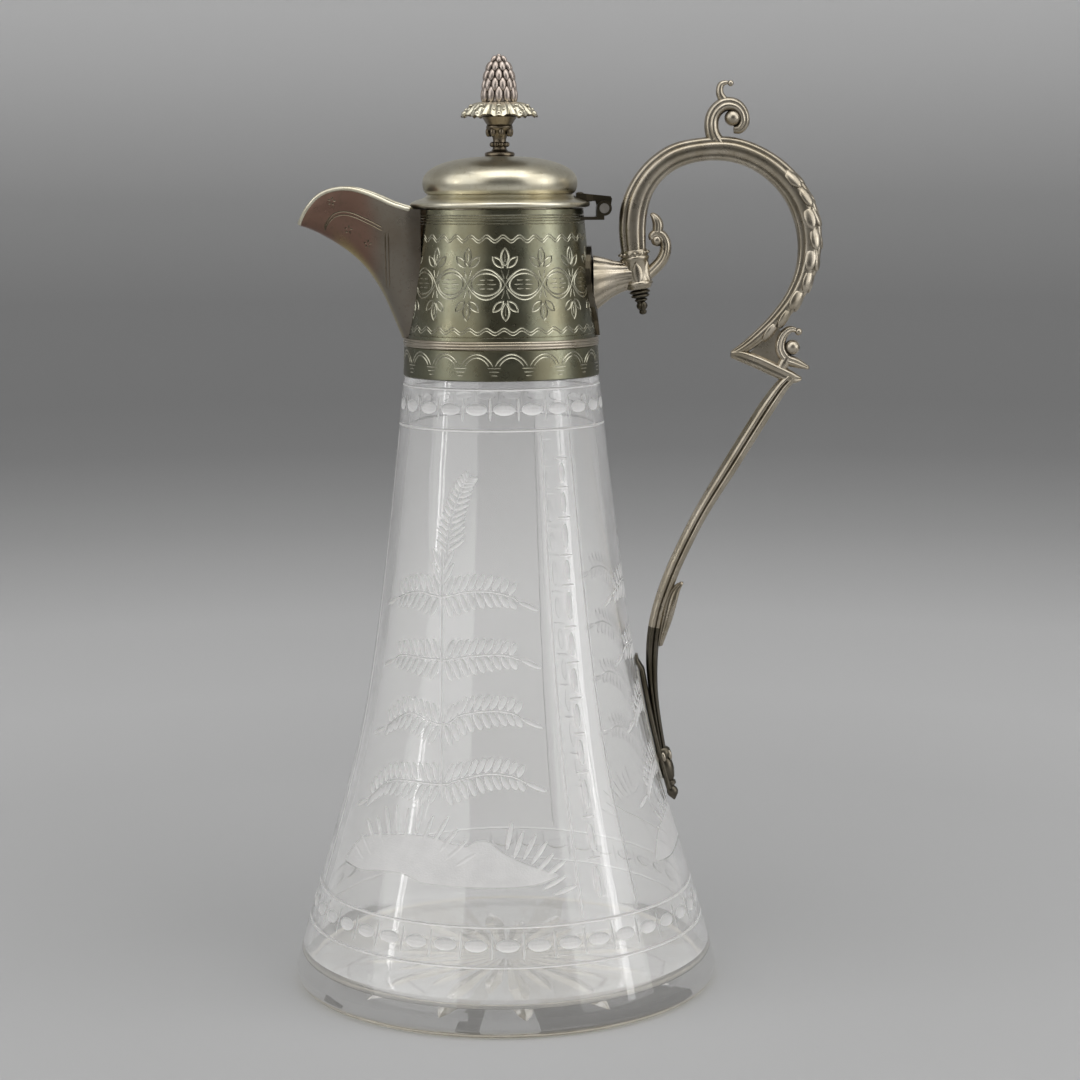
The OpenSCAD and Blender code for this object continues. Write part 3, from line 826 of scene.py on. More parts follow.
def subtract(target: bpy.types.Object, cutter: Form) -> None:
    """Cuts a form out of an object's mesh."""
    tool = cutter.object(*target.data.materials)
    modifier = target.modifiers.new("cut", "BOOLEAN")
    modifier.operation = "DIFFERENCE"
    modifier.solver = "MANIFOLD"
    modifier.object = tool
    dressed = target.evaluated_get(bpy.context.evaluated_depsgraph_get())
    cut_mesh = bpy.data.meshes.new_from_object(dressed)
    target.modifiers.clear()
    old = target.data
    target.data = cut_mesh
    bpy.data.meshes.remove(old)
    bpy.data.meshes.remove(tool.data)


def shade_smooth(target: bpy.types.Object, angle: float = 38.0) -> None:
    """Shades a mesh smooth apart from the edges that are sharper than an angle."""
    mesh = target.data
    mesh.polygons.foreach_set("use_smooth", [True] * len(mesh.polygons))
    mesh.set_sharp_from_angle(angle=math.radians(angle))


def keep_smooth_normals(target: bpy.types.Object, plain: bpy.types.Object, limit: float) -> None:
    """Gives the faces of a cut mesh the smooth normals of its uncut form, where they lie on it.

    Args:
        target: The cut object.
        plain: The object before it was cut.
        limit: The angle in degrees within which a face counts as lying on the form.
    """
    source = plain.data
    faces = [list(p.vertices) for p in source.polygons]
    tree = BVHTree.FromPolygons([v.co for v in source.vertices], faces)
    mesh = target.data
    mesh.polygons.foreach_set("use_smooth", [True] * len(mesh.polygons))
    least = math.cos(math.radians(limit))
    normals: list[Vector] = []
    corner = source.corner_normals
    for face in mesh.polygons:
        flat = face.normal
        for loop in face.loop_indices:
            place = mesh.vertices[mesh.loops[loop].vertex_index].co
            near, _, index, distance = tree.find_nearest(place)
            normal = flat
            if distance is not None and distance < ON_THE_FORM:
                polygon = source.polygons[index]
                weights = poly_3d_calc([source.vertices[i].co for i in polygon.vertices], near)
                smooth = Vector()
                for weight, source_loop in zip(weights, polygon.loop_indices):
                    smooth += weight * corner[source_loop].vector
                if smooth.length and smooth.normalized().dot(flat) > least:
                    normal = smooth.normalized()
            normals.append(normal)
    mesh.normals_split_custom_set(normals)


def carve(
    form: Form, name: str, finishes: Sequence[Finish], cutters: Iterable[Form], edge: float, limit: float
) -> bpy.types.Object:
    """Cuts a turned form and keeps it smooth between the cuts.

    Args:
        form: The form before it is cut.
        name: The name of the cut object.
        finishes: The finish of the form, then those of the cuts.
        cutters: The forms to take out of it, one after another.
        edge: The angle in degrees past which the form's own edges are sharp.
        limit: The angle in degrees within which a face counts as lying on the form.

    Returns:
        The cut object.
    """
    plain = form.object(*finishes)
    shade_smooth(plain, edge)
    made = link(name, plain.data.copy())
    for cutter in cutters:
        subtract(made, cutter)
    keep_smooth_normals(made, plain, limit)
    bpy.data.meshes.remove(plain.data)
    return made


def hand_over(made: bpy.types.Object, body: Body, slot: Slot, *nodes: str) -> bpy.types.Object:
    """Scales a finished piece to metres and hands it to the frame.

    Args:
        made: The piece's object, in millimetres.
        body: The body that it rides on.
        slot: The record's material slot, which is not used.
        nodes: The nodes of the frame that it stands for.

    Returns:
        The object.
    """
    made.data.transform(Matrix.Scale(MM, 4))
    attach(made, body.value)
    if nodes:
        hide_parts(*nodes)
    log.info("%s: %d faces on %s", made.name, len(made.data.polygons), body.value)
    return made


def dress_node(frame: dict[str, Any], node: str, material: Finish) -> None:
    """Gives a node that stays in view its finish."""
    for slot in frame["nodes"][node].material_slots:
        slot.material = material


# The glass


@dataclass(frozen=True)
class FernTier:
    """A pair of fern branches: their rib, the azimuth of the stem, and their leaflets' sizes."""

    rib: tuple[Point, ...]
    root: float
    longest: float = 6.4
    shortest: float = 3.4
    pitch: float = 2.5
    width: float = 1.9
    depth: float = 0.36
    first: float = 1.3

    def leaflets(self, wall: Wall) -> list[Cut]:
        """Returns the leaflets on both sides of the rib and one at each tip.

        Args:
            wall: The wall of the glass.

        Returns:
            The cuts.
        """
        course = refine(self.rib, 24)
        places = [wall.point(*at) for at in course]
        gaps = [(b - a).length for a, b in zip(places, places[1:])]
        run = np.concatenate([[0.0], np.cumsum(gaps)])
        middle = float(np.interp(self.root, [at[0] for at in course], run))
        cuts = []
        for way, reach in ((-1, middle), (1, float(run[-1]) - middle)):
            for k in range(int((reach - 0.6) / self.pitch)):
                along = self.first + k * self.pitch
                share = along / reach
                length = self.shortest + (self.longest - self.shortest) * (1 - share) ** 0.75
                azimuth = float(np.interp(middle + way * along, run, [at[0] for at in course]))
                height = float(np.interp(middle + way * along, run, [at[1] for at in course]))
                for side in (-1, 1):
                    lean = 21 + 9 * share
                    rise = side * (0.35 + length / 2 * math.cos(math.radians(lean)))
                    drift = way * length / 2 * math.sin(math.radians(lean))
                    shift = wall.azimuth_step(height, drift)
                    turn = side * way * lean
                    cuts.append(Cut(azimuth + shift, height + rise, length, self.width, self.depth, turn))
            tip = course[0] if way < 0 else course[-1]
            shift = wall.azimuth_step(tip[1], way * 3.2)
            cuts.append(Cut(tip[0] + shift, tip[1] - 1.5, 7.0, 1.4, 0.34, -way * 65 + 180))
        return cuts


@dataclass
class GlassBody:
    """The cut-glass cone: a turned shell with borders, ferns and a star cut in it.

    The dividers part the wall into panels, and the first panels of them are planted with a fern.
    """

    base_radius: float = 66.87
    roll_radius: float = 3.0
    shoulder: Point = (30.3, 192.0)
    pulls: tuple[Point, Point] = ((45.9, 79.7), (43.7, 66.5))
    wall_thickness: float = 3.0
    floor_thickness: float = 7.0
    floor_fillet: float = 4.0
    neck_radius: float = 28.0
    neck_height: float = 11.0
    steps: int = 192
    panels: int = 3
    planted: int = 2
    ring_heights: tuple[float, ...] = (189.6, 177.4, 32.2, 20.9)
    divider_axis: tuple[Point, ...] = ((33.5, 168.7), (31.6, 96.0), (30.7, 56.0))
    star_rays: int = 24
    stem: tuple[Point, ...] = (
        (-29.9, 142.0), (-29.5, 138.5), (-27.2, 114.6), (-24.8, 91.0), (-22.0, 67.7)
    )
    tiers: tuple[FernTier, ...] = (
        FernTier(
            ((-57, 125.3), (-48.6, 127.4), (-40.6, 128.3), (-28.4, 127.6), (-16.5, 129.4),
             (-4.8, 129.6), (4.4, 128.1), (7.6, 126.6)),
            -28.4,
        ),
        FernTier(
            ((-54, 106.8), (-48, 108.6), (-26.6, 108.8), (-13.3, 110.4), (-0.3, 110.9), (8.2, 109.3)),
            -26.6,
        ),
        FernTier(
            ((-53.8, 86), (-41.1, 91.7), (-24.8, 89.6), (-16.7, 92.9), (-4.5, 94.3), (3.6, 93.7),
             (8.0, 91.8)),
            -24.8,
        ),
        FernTier(
            ((-57, 63.5), (-48.4, 69.7), (-40.7, 71.8), (-22.6, 72.3), (-17.3, 73.6), (-6.1, 75.9),
             (3.1, 75.3), (8.6, 73.2)),
            -22.6,
        ),
    )
    frond: tuple[Point, ...] = (
        (-27.3, 138.6), (-26.7, 144.6), (-25.6, 150.6), (-22.7, 156.7), (-19.7, 161.2), (-17.1, 163.4)
    )
    mound_foot: tuple[Point, ...] = (
        (-62, 43.6), (-51.7, 43.2), (-43, 44.5), (-34, 45.1), (-26.3, 43.4), (-16.2, 43.2), (-5.2, 43.1),
        (8.6, 43.5), (17.4, 45.5)
    )
    mound_top: tuple[Point, ...] = (
        (-62, 45.0), (-56, 51.4), (-48, 54.2), (-36.8, 56.0), (-26.7, 56.6), (-19.3, 55.6), (-13, 54.5),
        (-9, 56.0), (-4.9, 56.2), (-0.6, 53.4), (5.8, 50.4), (12.1, 48.0), (17.4, 46.2)
    )
    surface: Wall = field(init=False)

    def __post_init__(self) -> None:
        """Works out the wall that the cuts lie on."""
        points = [self.side(i / 80) for i in range(81)]
        self.surface = Wall(tuple(p[0] for p in points), tuple(p[1] for p in points))

    def side(self, t: float, offset: float = 0.0) -> Point:
        """Returns a point of the outer side, from the base at 0 to the shoulder at 1, or off it."""
        knots = [np.array(p) for p in ((self.base_radius, 5.0), *self.pulls, self.shoulder)]
        a, b, c, d = knots
        place = (1 - t) ** 3 * a + 3 * (1 - t) ** 2 * t * b + 3 * (1 - t) * t * t * c + t**3 * d
        slope = (1 - t) ** 2 * (b - a) + 2 * (1 - t) * t * (c - b) + t * t * (d - c)
        away = np.array([slope[1], -slope[0]]) / np.hypot(*slope)
        place = place + offset * away
        return float(place[0]), float(place[1])

    def outline(self) -> list[Point]:
        """Returns the shell's section, from the middle of its underside round to its floor."""
        count = 60
        top = self.shoulder[1] + self.neck_height
        inner_neck = self.neck_radius - self.wall_thickness
        middle_r = self.base_radius - self.roll_radius
        low = self.floor_thickness + self.floor_fillet
        inner = [self.side(i / count, -self.wall_thickness) for i in range(count, 0, -1)]
        floor_r = self.side(0.03, -self.wall_thickness)[0] - self.floor_fillet
        return [
            (0.0, 0.0),
            *[(middle_r * i / 12, 0.0) for i in range(1, 12)],
            *arc((middle_r, self.roll_radius), self.roll_radius, -90, 0, 8),
            *[self.side(i / count) for i in range(count + 1)],
            (self.neck_radius, self.shoulder[1]),
            *arc((self.neck_radius - 1, top - 1), 1, 0, 90, 4),
            *arc((inner_neck + 1, top - 1), 1, 90, 180, 4),
            *[p for p in inner if p[1] > low],
            *arc((floor_r, low), self.floor_fillet, 0, -90, 8),
            *[(floor_r * i / 8, self.floor_thickness) for i in range(7, 0, -1)],
            (0.0, self.floor_thickness),
        ]

    def border_cuts(self) -> list[Cut]:
        """Returns the ovals and bars of the top and the bottom border."""
        cuts = []
        borders = ((23, 183.7, 6.9, 0.75, 7.0), (40, 27.0, 7.2, 0.7, 8.2))
        for count, height, length, depth, bar in borders:
            for k in range(count):
                azimuth = 360 * (k + 0.15) / count
                cuts.append(Cut(azimuth, height, length, 0.56 * length, depth, 90))
                cuts.append(Cut(azimuth + 180 / count, height, bar, 0.75, 0.4))
        return cuts

    def divider_cuts(self) -> list[Cut]:
        """Returns the upright ovals and cross bars between two panels."""
        heights = (168.7, 159.9, 150.9, 139.6, 130.6, 118.1, 107.4, 96.7, 86.2, 74.9, 61.9, 49.9)
        azimuths, falls = [a for a, _ in self.divider_axis], [-h for _, h in self.divider_axis]
        cuts = []
        for height, below in zip(heights, heights[1:] + (36.0,)):
            azimuth = float(np.interp(-height, falls, azimuths))
            cuts.append(Cut(azimuth, height, 4.6, 0.8, 0.4, 90))
            middle = (height + below) / 2
            cuts.append(Cut(azimuth, middle, 0.7 * (height - below), 2.1, 0.5))
        return cuts

    def fan_cuts(self) -> list[Cut]:
        """Returns the grass that stands on the mound: two fans of long spikes.

        A fan's row gives its middle's azimuth and height, the angles of its spikes, their middles'
        distance from it and their length.
        """
        cuts = []
        fans = (
            (-33.0, 38.0, range(-64, 66, 10), 22.5, 10.0),
            (-3.0, 36.0, range(12, 76, 9), 21.5, 8.5),
        )
        for azimuth, height, angles, radius, length in fans:
            for angle in angles:
                turn = math.radians(angle)
                uneven = 1.2 * math.cos(angle)
                reach = radius + uneven
                high = height + reach * math.cos(turn)
                shift = self.surface.azimuth_step(high, reach * math.sin(turn))
                cuts.append(Cut(azimuth + shift, high, length, 1.4, 0.34, angle))
        return cuts

    def frond_cuts(self) -> list[Cut]:
        """Returns the leaflets of the curled frond at the top of a stem."""
        course = refine(self.frond, 6)
        cuts = []
        for k in range(3, len(course) - 1, 2):
            share = k / len(course)
            (a0, z0), (a1, z1) = course[k - 1], course[k + 1]
            run = math.radians(a1 - a0) * self.surface.radius(z0)
            heading = math.degrees(math.atan2(run, z1 - z0))
            for side, longest in ((1, 7.2), (-1, 5.4)):
                length = longest * (1 - 0.62 * share)
                turn = heading + side * 52
                rise = length / 2 * math.cos(math.radians(turn))
                drift = (length / 2 + 0.2) * math.sin(math.radians(turn))
                azimuth = course[k][0] + self.surface.azimuth_step(z0, drift)
                cuts.append(Cut(azimuth, course[k][1] + rise, length, 1.4, 0.32, turn))
        for side in (-1, 1):
            for rise, length in ((133.4, 7.5), (137.6, 7.0)):
                shift = self.surface.azimuth_step(rise, side * 2.1)
                cuts.append(Cut(-29.2 + shift, rise + 1.2, length, 1.4, 0.34, side * 27))
        return cuts

    def scorings(self, planted: bool) -> list[list[list[Point]]]:
        """Returns passes of thin grooves for one panel.

        Args:
            planted: Whether the panel has its fern, or only the lines beside its divider.

        Returns:
            Two passes, each a list of courses. The stem, which crosses the ribs, is the second.
        """
        lines = []
        for start, spread in ((22.4, 1.6), (40.2, 3.6)):
            lines.append([(start + spread * (177 - z) / 142.6, z) for z in np.linspace(176.0, 33.6, 50)])
        if not planted:
            return [lines, []]
        ribs = [refine(tier.rib, 6) for tier in self.tiers]
        return [lines + ribs + [refine(self.frond, 6)], [refine(self.stem, 8)]]

    def star(self) -> Form:
        """Returns the cutter of the star under the base."""
        cutter = Form("star_cutter")
        girths = ((0.1, 0.12), (0.4, 0.55), (0.74, 1.0), (0.9, 0.62), (0.995, 0.06))
        for k in range(self.star_rays):
            long_ray = k % 2 == 0
            reach = 46.0 if long_ray else 37.0
            half = 3.2 if long_ray else 2.5
            azimuth = 360 * (k + 0.5) / self.star_rays
            turn = Matrix.Rotation(math.radians(azimuth), 4, "Z")
            rings = []
            for share, girth in girths:
                middle = Vector((0, -reach * share, 0))
                wide, deep = half * girth, 1.3 * girth
                ring = [(wide, 0, 0), (0, 0, deep), (-wide, 0, 0), (0, 0, -deep)]
                rings.append([turn @ (middle + Vector(p)) for p in ring])
            cutter.loft(rings)
        return cutter

    def build(self, glass: Finish, matt: Finish, bright: Finish) -> None:
        """Builds the glass.

        Args:
            glass: The clear glass.
            matt: The finish of the wheel's cuts.
            bright: The finish of the star.
        """
        form = Form("glass_body")
        form.lathe(self.outline(), self.steps, closed=False)
        made = carve(form, "glass_body_cut", (glass, matt, bright), self.cutters(), 50, 14)
        hand_over(made, Body.JUG, Slot.GLASS, "glass_body")

    def cutters(self) -> Iterable[Form]:
        """Yields the cutters, one for each pass of the wheel."""
        pitch = 360 / self.panels
        mound = Form("mound_cutter")
        for k in range(self.planted):
            mound.sheet(72, 6, self._mound_point(k * pitch), -0.9, material=1)
        yield mound
        rings = Form("ring_cutter")
        for height in self.ring_heights:
            course = [(360 * i / 180, height) for i in range(180)]
            rings.stroke(self.surface, course, 0.75, 0.38, closed=True, material=1)
        yield rings
        for layer in (0, 1):
            cutter = Form("scoring_cutter")
            for k in range(self.panels):
                for course in self.scorings(k < self.planted)[layer]:
                    turned = [(at[0] + k * pitch, at[1]) for at in course]
                    cutter.stroke(self.surface, turned, 0.6, 0.28, material=1)
            yield cutter
        dividers = self.divider_cuts()
        panel = dividers + self.fan_cuts() + self.frond_cuts()
        for tier in self.tiers:
            panel += tier.leaflets(self.surface)
        for layer in in_layers(panel, self.surface):
            cutter = Form("lens_cutter")
            for cut in layer:
                for k in range(self.panels if cut in dividers else self.planted):
                    cutter.lens(self.surface, replace(cut, azimuth=cut.azimuth + k * pitch), material=1)
            log.info("layer of %d cuts", len(layer))
            yield cutter
        borders = Form("border_cutter")
        for cut in self.border_cuts():
            borders.lens(self.surface, cut, sides=10, rings=8, material=1)
        yield borders
        star = self.star()
        for face in star.bm.faces:
            face.material_index = 2
        yield star

    def _mound_point(self, turn: float) -> Callable[[float, float], Vector]:
        """Returns the shape of the mound's matt ground, turned to its panel."""
        foot, top = refine(self.mound_foot, 6), refine(self.mound_top, 6)
        first, last = self.mound_foot[0][0], self.mound_foot[-1][0]

        def shape(u: float, v: float) -> Vector:
            """Returns the point at u round the mound and v up it."""
            azimuth = first + (last - first) * (u + 1) / 2
            low = float(np.interp(azimuth, [p[0] for p in foot], [p[1] for p in foot]))
            high = float(np.interp(azimuth, [p[0] for p in top], [p[1] for p in top]))
            return self.surface.point(azimuth + turn, low + (high - low) * v, -0.12)

        return shape


# The collar and the spout


@dataclass
class Collar:
    """The plated collar: a foot band, a moulding and an engraved cone with the spout's opening.

    The chain of ovals and the arcade start at the azimuths of their first crossing and foot.
    """

    low_radius: float = 29.5
    top_radius: float = 25.65
    top: float = 243.0
    foot: float = 192.0
    band_top: float = 201.3
    cone_foot: float = 203.8
    sheet: float = 0.9
    band_low_radius: float = 30.4
    band_top_radius: float = 30.1
    crossings: int = 15
    first_crossing: float = 3.7
    chain_height: float = 220.9
    arches: int = 18
    first_arch: float = -3.3
    sprig_feet: tuple[tuple[float, int], ...] = ((226.3, 1), (215.5, -1))
    steps: int = 240
    surface: Wall = field(init=False)
    band_surface: Wall = field(init=False)

    def __post_init__(self) -> None:
        """Works out the walls that the engraving lies on."""
        cone_radius = self.low_radius - 0.25
        self.surface = Wall((cone_radius, self.top_radius), (self.cone_foot, self.top))
        heights = (self.foot + 0.3, self.band_top - 0.3)
        self.band_surface = Wall((self.band_low_radius, self.band_top_radius), heights)

    def sleeve_outline(self) -> list[Point]:
        """Returns the sleeve's section."""
        cone_radius = self.low_radius - 0.25
        inner = self.sheet
        rise = [self.cone_foot + (self.top - self.cone_foot) * i / 16 for i in range(17)]
        return [
            (self.low_radius, self.foot),
            (self.low_radius, self.cone_foot),
            *[(self.surface.radius(z), z) for z in rise[:-1]],
            (self.top_radius, self.top - 0.15),
            (self.top_radius - 0.15, self.top),
            (self.top_radius - inner, self.top),
            (cone_radius - inner, self.cone_foot),
            (self.low_radius - inner, self.cone_foot - 2),
            (self.low_radius - inner, self.foot),
        ]

    def wave(self, middle: float, swing: float, count: int) -> list[Point]:
        """Returns a wave round the cone, with so many crests."""
        points = []
        for i in range(count * 10):
            turn = i / (count * 10)
            points.append((360 * turn, middle + swing * math.sin(2 * math.pi * count * turn)))
        return points

    def chain(self, side: int) -> list[Point]:
        """Returns the upper or the lower half of the chain of ovals."""
        points = []
        for i in range(self.crossings * 14):
            turn = 360 / self.crossings * i / 14
            swell = abs(math.sin(math.radians(self.crossings * turn / 2))) ** 0.8
            points.append((turn + self.first_crossing, self.chain_height + side * 4.5 * swell))
        return points

    def ovals(self) -> list[list[Point]]:
        """Returns the inner lines of the chain's ovals."""
        courses = []
        turns = [2 * math.pi * i / 28 for i in range(28)]
        for k in range(self.crossings):
            middle = self.crossing(k + 0.5)
            rows = [(middle + 9.3 * math.cos(t), self.chain_height + 3.3 * math.sin(t)) for t in turns]
            courses.append(rows)
        return courses

    def crossing(self, k: float) -> float:
        """Returns the azimuth of a crossing of the chain, or of a middle between two."""
        return self.first_crossing + 360 / self.crossings * k

    def leaf(self, foot: Point, length: float, width: float, turn: float) -> list[Point]:
        """Returns the outline of a pointed leaf on the cone.

        Args:
            foot: The azimuth and height that it grows from.
            length: Its length.
            width: Its greatest width.
            turn: Its turn in degrees, clockwise from upright.

        Returns:
            The points.
        """
        angle, points = math.radians(turn), []
        for i in range(14):
            share = i / 7 if i <= 7 else (14 - i) / 7
            half = (1 if i <= 7 else -1) * width / 2 * math.sin(math.pi * share) ** 0.8
            along = length * (0.04 + share)
            across = half * math.cos(angle) + along * math.sin(angle)
            height = foot[1] + along * math.cos(angle) - half * math.sin(angle)
            points.append((foot[0] + self.surface.azimuth_step(height, across), height))
        return points

    def sprigs(self) -> list[list[list[Point]]]:
        """Returns passes of leaf outlines, three leaves above and three below each crossing."""
        passes: list[list[list[Point]]] = [[], [], []]
        for k in range(self.crossings):
            azimuth = self.crossing(k)
            for foot, way in self.sprig_feet:
                upright = 0 if way > 0 else 180
                passes[0].append(self.leaf((azimuth, foot), 5.2, 2.3, upright))
                for side in (-1, 1):
                    start = (azimuth + side * 1.2, foot - 0.5 * way)
                    lean = upright + side * way * 44
                    passes[1 + (side + 1) // 2].append(self.leaf(start, 4.3, 1.9, lean))
        return passes

    def dashes(self) -> list[Cut]:
        """Returns the dashes inside the ovals, the leaves' veins and the lines below them."""
        cuts = []
        for k in range(self.crossings):
            azimuth, between = self.crossing(k), self.crossing(k + 0.5)
            for lift, reach in ((1.3, 2.1), (0.0, 2.9), (-1.3, 2.1)):
                height = self.chain_height + lift
                for side in (-1, 1):
                    shift = self.surface.azimuth_step(height, side * (reach / 2 + 0.25))
                    cuts.append(Cut(between + shift, height, reach, 0.5, 0.14, 90))
            for foot, way in self.sprig_feet:
                cuts.append(Cut(azimuth, foot + 2.6 * way, 2.8, 0.5, 0.14))
                for side in (-1, 1):
                    shift = self.surface.azimuth_step(foot, side * 0.75)
                    cuts.append(Cut(azimuth + shift, foot - 2.4 * way, 2.8, 0.5, 0.14, side * way * 18))
        return cuts

    def arcade(self) -> list[list[Point]]:
        """Returns the double arches of the foot band."""
        courses = []
        for k in range(self.arches):
            middle = self.first_arch + 360 / self.arches * (k + 0.5)
            for half, rise in ((9.288, 3.6), (6.912, 2.6)):
                course = []
                for i in range(15):
                    share = i / 14
                    azimuth = middle + half * (2 * share - 1)
                    course.append((azimuth, 196.6 + rise * math.sin(math.pi * share) ** 0.7))
                courses.append(course)
        return courses

    def band_dashes(self) -> list[Cut]:
        """Returns the dashes under the arcade's feet."""
        cuts = []
        for k in range(self.arches):
            azimuth = self.first_arch + 360 / self.arches * k
            for height, width in ((196.0, 5.0), (194.9, 3.2), (193.8, 2.0)):
                cuts.append(Cut(azimuth, height, width, 0.5, 0.15, 90))
        return cuts

    def build(self, plate: Finish, bright: Finish, silver: Finish) -> None:
        """Builds the collar.

        Args:
            plate: The tarnished plate.
            bright: The engraver's bright cuts.
            silver: The cleaner metal of the moulding.
        """
        self.build_sleeve(plate, bright)
        self.build_band(plate, bright)
        self.build_moulding(silver)

    def build_sleeve(self, plate: Finish, bright: Finish) -> None:
        """Builds the engraved sleeve."""
        form = Form("collar_sleeve")
        form.lathe(self.sleeve_outline(), self.steps)
        made = carve(form, "collar_sleeve_engraved", (plate, bright), self.cutters(), 30, 10)
        hand_over(made, Body.JUG, Slot.ENGRAVED, "collar_sleeve")

    def cutters(self) -> Iterable[Form]:
        """Yields the engraver's passes and last the opening behind the spout."""
        lines = Form("line_cutter")
        rings = ((241.2, 0.55), (240.4, 0.5), (239.6, 0.45), (238.7, 0.45), (205.0, 0.4))
        for height, width in rings:
            course = [(360 * i / 180, height) for i in range(180)]
            lines.stroke(self.surface, course, width, 0.2, closed=True, material=1)
        for middle, swing in ((234.4, 0.75), (206.9, 0.65)):
            for lift in (-0.42, 0.42):
                wave = self.wave(middle + lift, swing, 34)
                lines.stroke(self.surface, wave, 0.42, 0.14, closed=True, material=1)
        yield lines
        for courses in ([self.chain(-1)], [self.chain(1)], self.ovals(), *self.sprigs()):
            outlines = Form("outline_cutter")
            for course in courses:
                outlines.stroke(self.surface, course, 0.55, 0.16, closed=True, material=1)
            yield outlines
        for layer in in_layers(self.dashes(), self.surface):
            cutter = Form("dash_cutter")
            for cut in layer:
                cutter.lens(self.surface, cut, material=1)
            yield cutter
        yield self.opening()

    def opening(self) -> Form:
        """Returns the cutter of the opening behind the spout."""
        turns = [math.radians(15 * i) for i in range(1, 7)]
        side = [(1.5 + 8.5 * math.sin(turn), 235 - 22 * math.cos(turn)) for turn in turns]
        top = arc((6, 235), 4, 0, 90, 4)
        half = [(1.5, 209.0), *side, *top]
        section = half + [(-y, z) for y, z in reversed(half)]
        cutter = Form("opening_cutter")
        cutter.loft([[Vector((x, y, z)) for y, z in section] for x in (-42, -12)])
        return cutter

    def build_band(self, plate: Finish, bright: Finish) -> None:
        """Builds the foot band with its arcade."""
        outline = [
            (self.low_radius, self.foot),
            (self.band_low_radius - 0.3, self.foot),
            (self.band_low_radius, self.foot + 0.3),
            *[(self.band_low_radius - 0.3 * i / 6, self.foot + 0.3 + 8.7 * i / 6) for i in range(1, 7)],
            (self.band_top_radius - 0.3, self.band_top),
            (self.low_radius, self.band_top),
        ]
        form = Form("collar_foot_band")
        form.lathe(outline, self.steps)
        arches = Form("arcade_cutter")
        for course in self.arcade():
            arches.stroke(self.band_surface, course, 0.5, 0.16, material=1)
        for cut in self.band_dashes():
            arches.lens(self.band_surface, cut, material=1)
        made = carve(form, "collar_band_engraved", (plate, bright), [arches], 30, 10)
        hand_over(made, Body.JUG, Slot.ENGRAVED, "collar_foot_band")

    def build_moulding(self, silver: Finish) -> None:
        """Builds the reeded ring between the band and the cone."""
        low, high = self.band_top, self.cone_foot
        third = (high - low) / 3
        outline = [(self.low_radius, low)]
        for k, bulge in enumerate((0.5, 0.62, 0.5)):
            outline += arc((self.low_radius + 0.22, low + third * (k + 0.5)), bulge, -72, 72, 8)
        count = len(outline)
        outline = [(r, min(max(z, low + 0.02 * i / count), high)) for i, (r, z) in enumerate(outline)]
        outline.append((self.low_radius, high))
        form = Form("collar_moulding")
        form.lathe(outline, self.steps)
        made = form.object(silver)
        shade_smooth(made, 50)
        hand_over(made, Body.JUG, Slot.PLATE, "collar_moulding_ring")


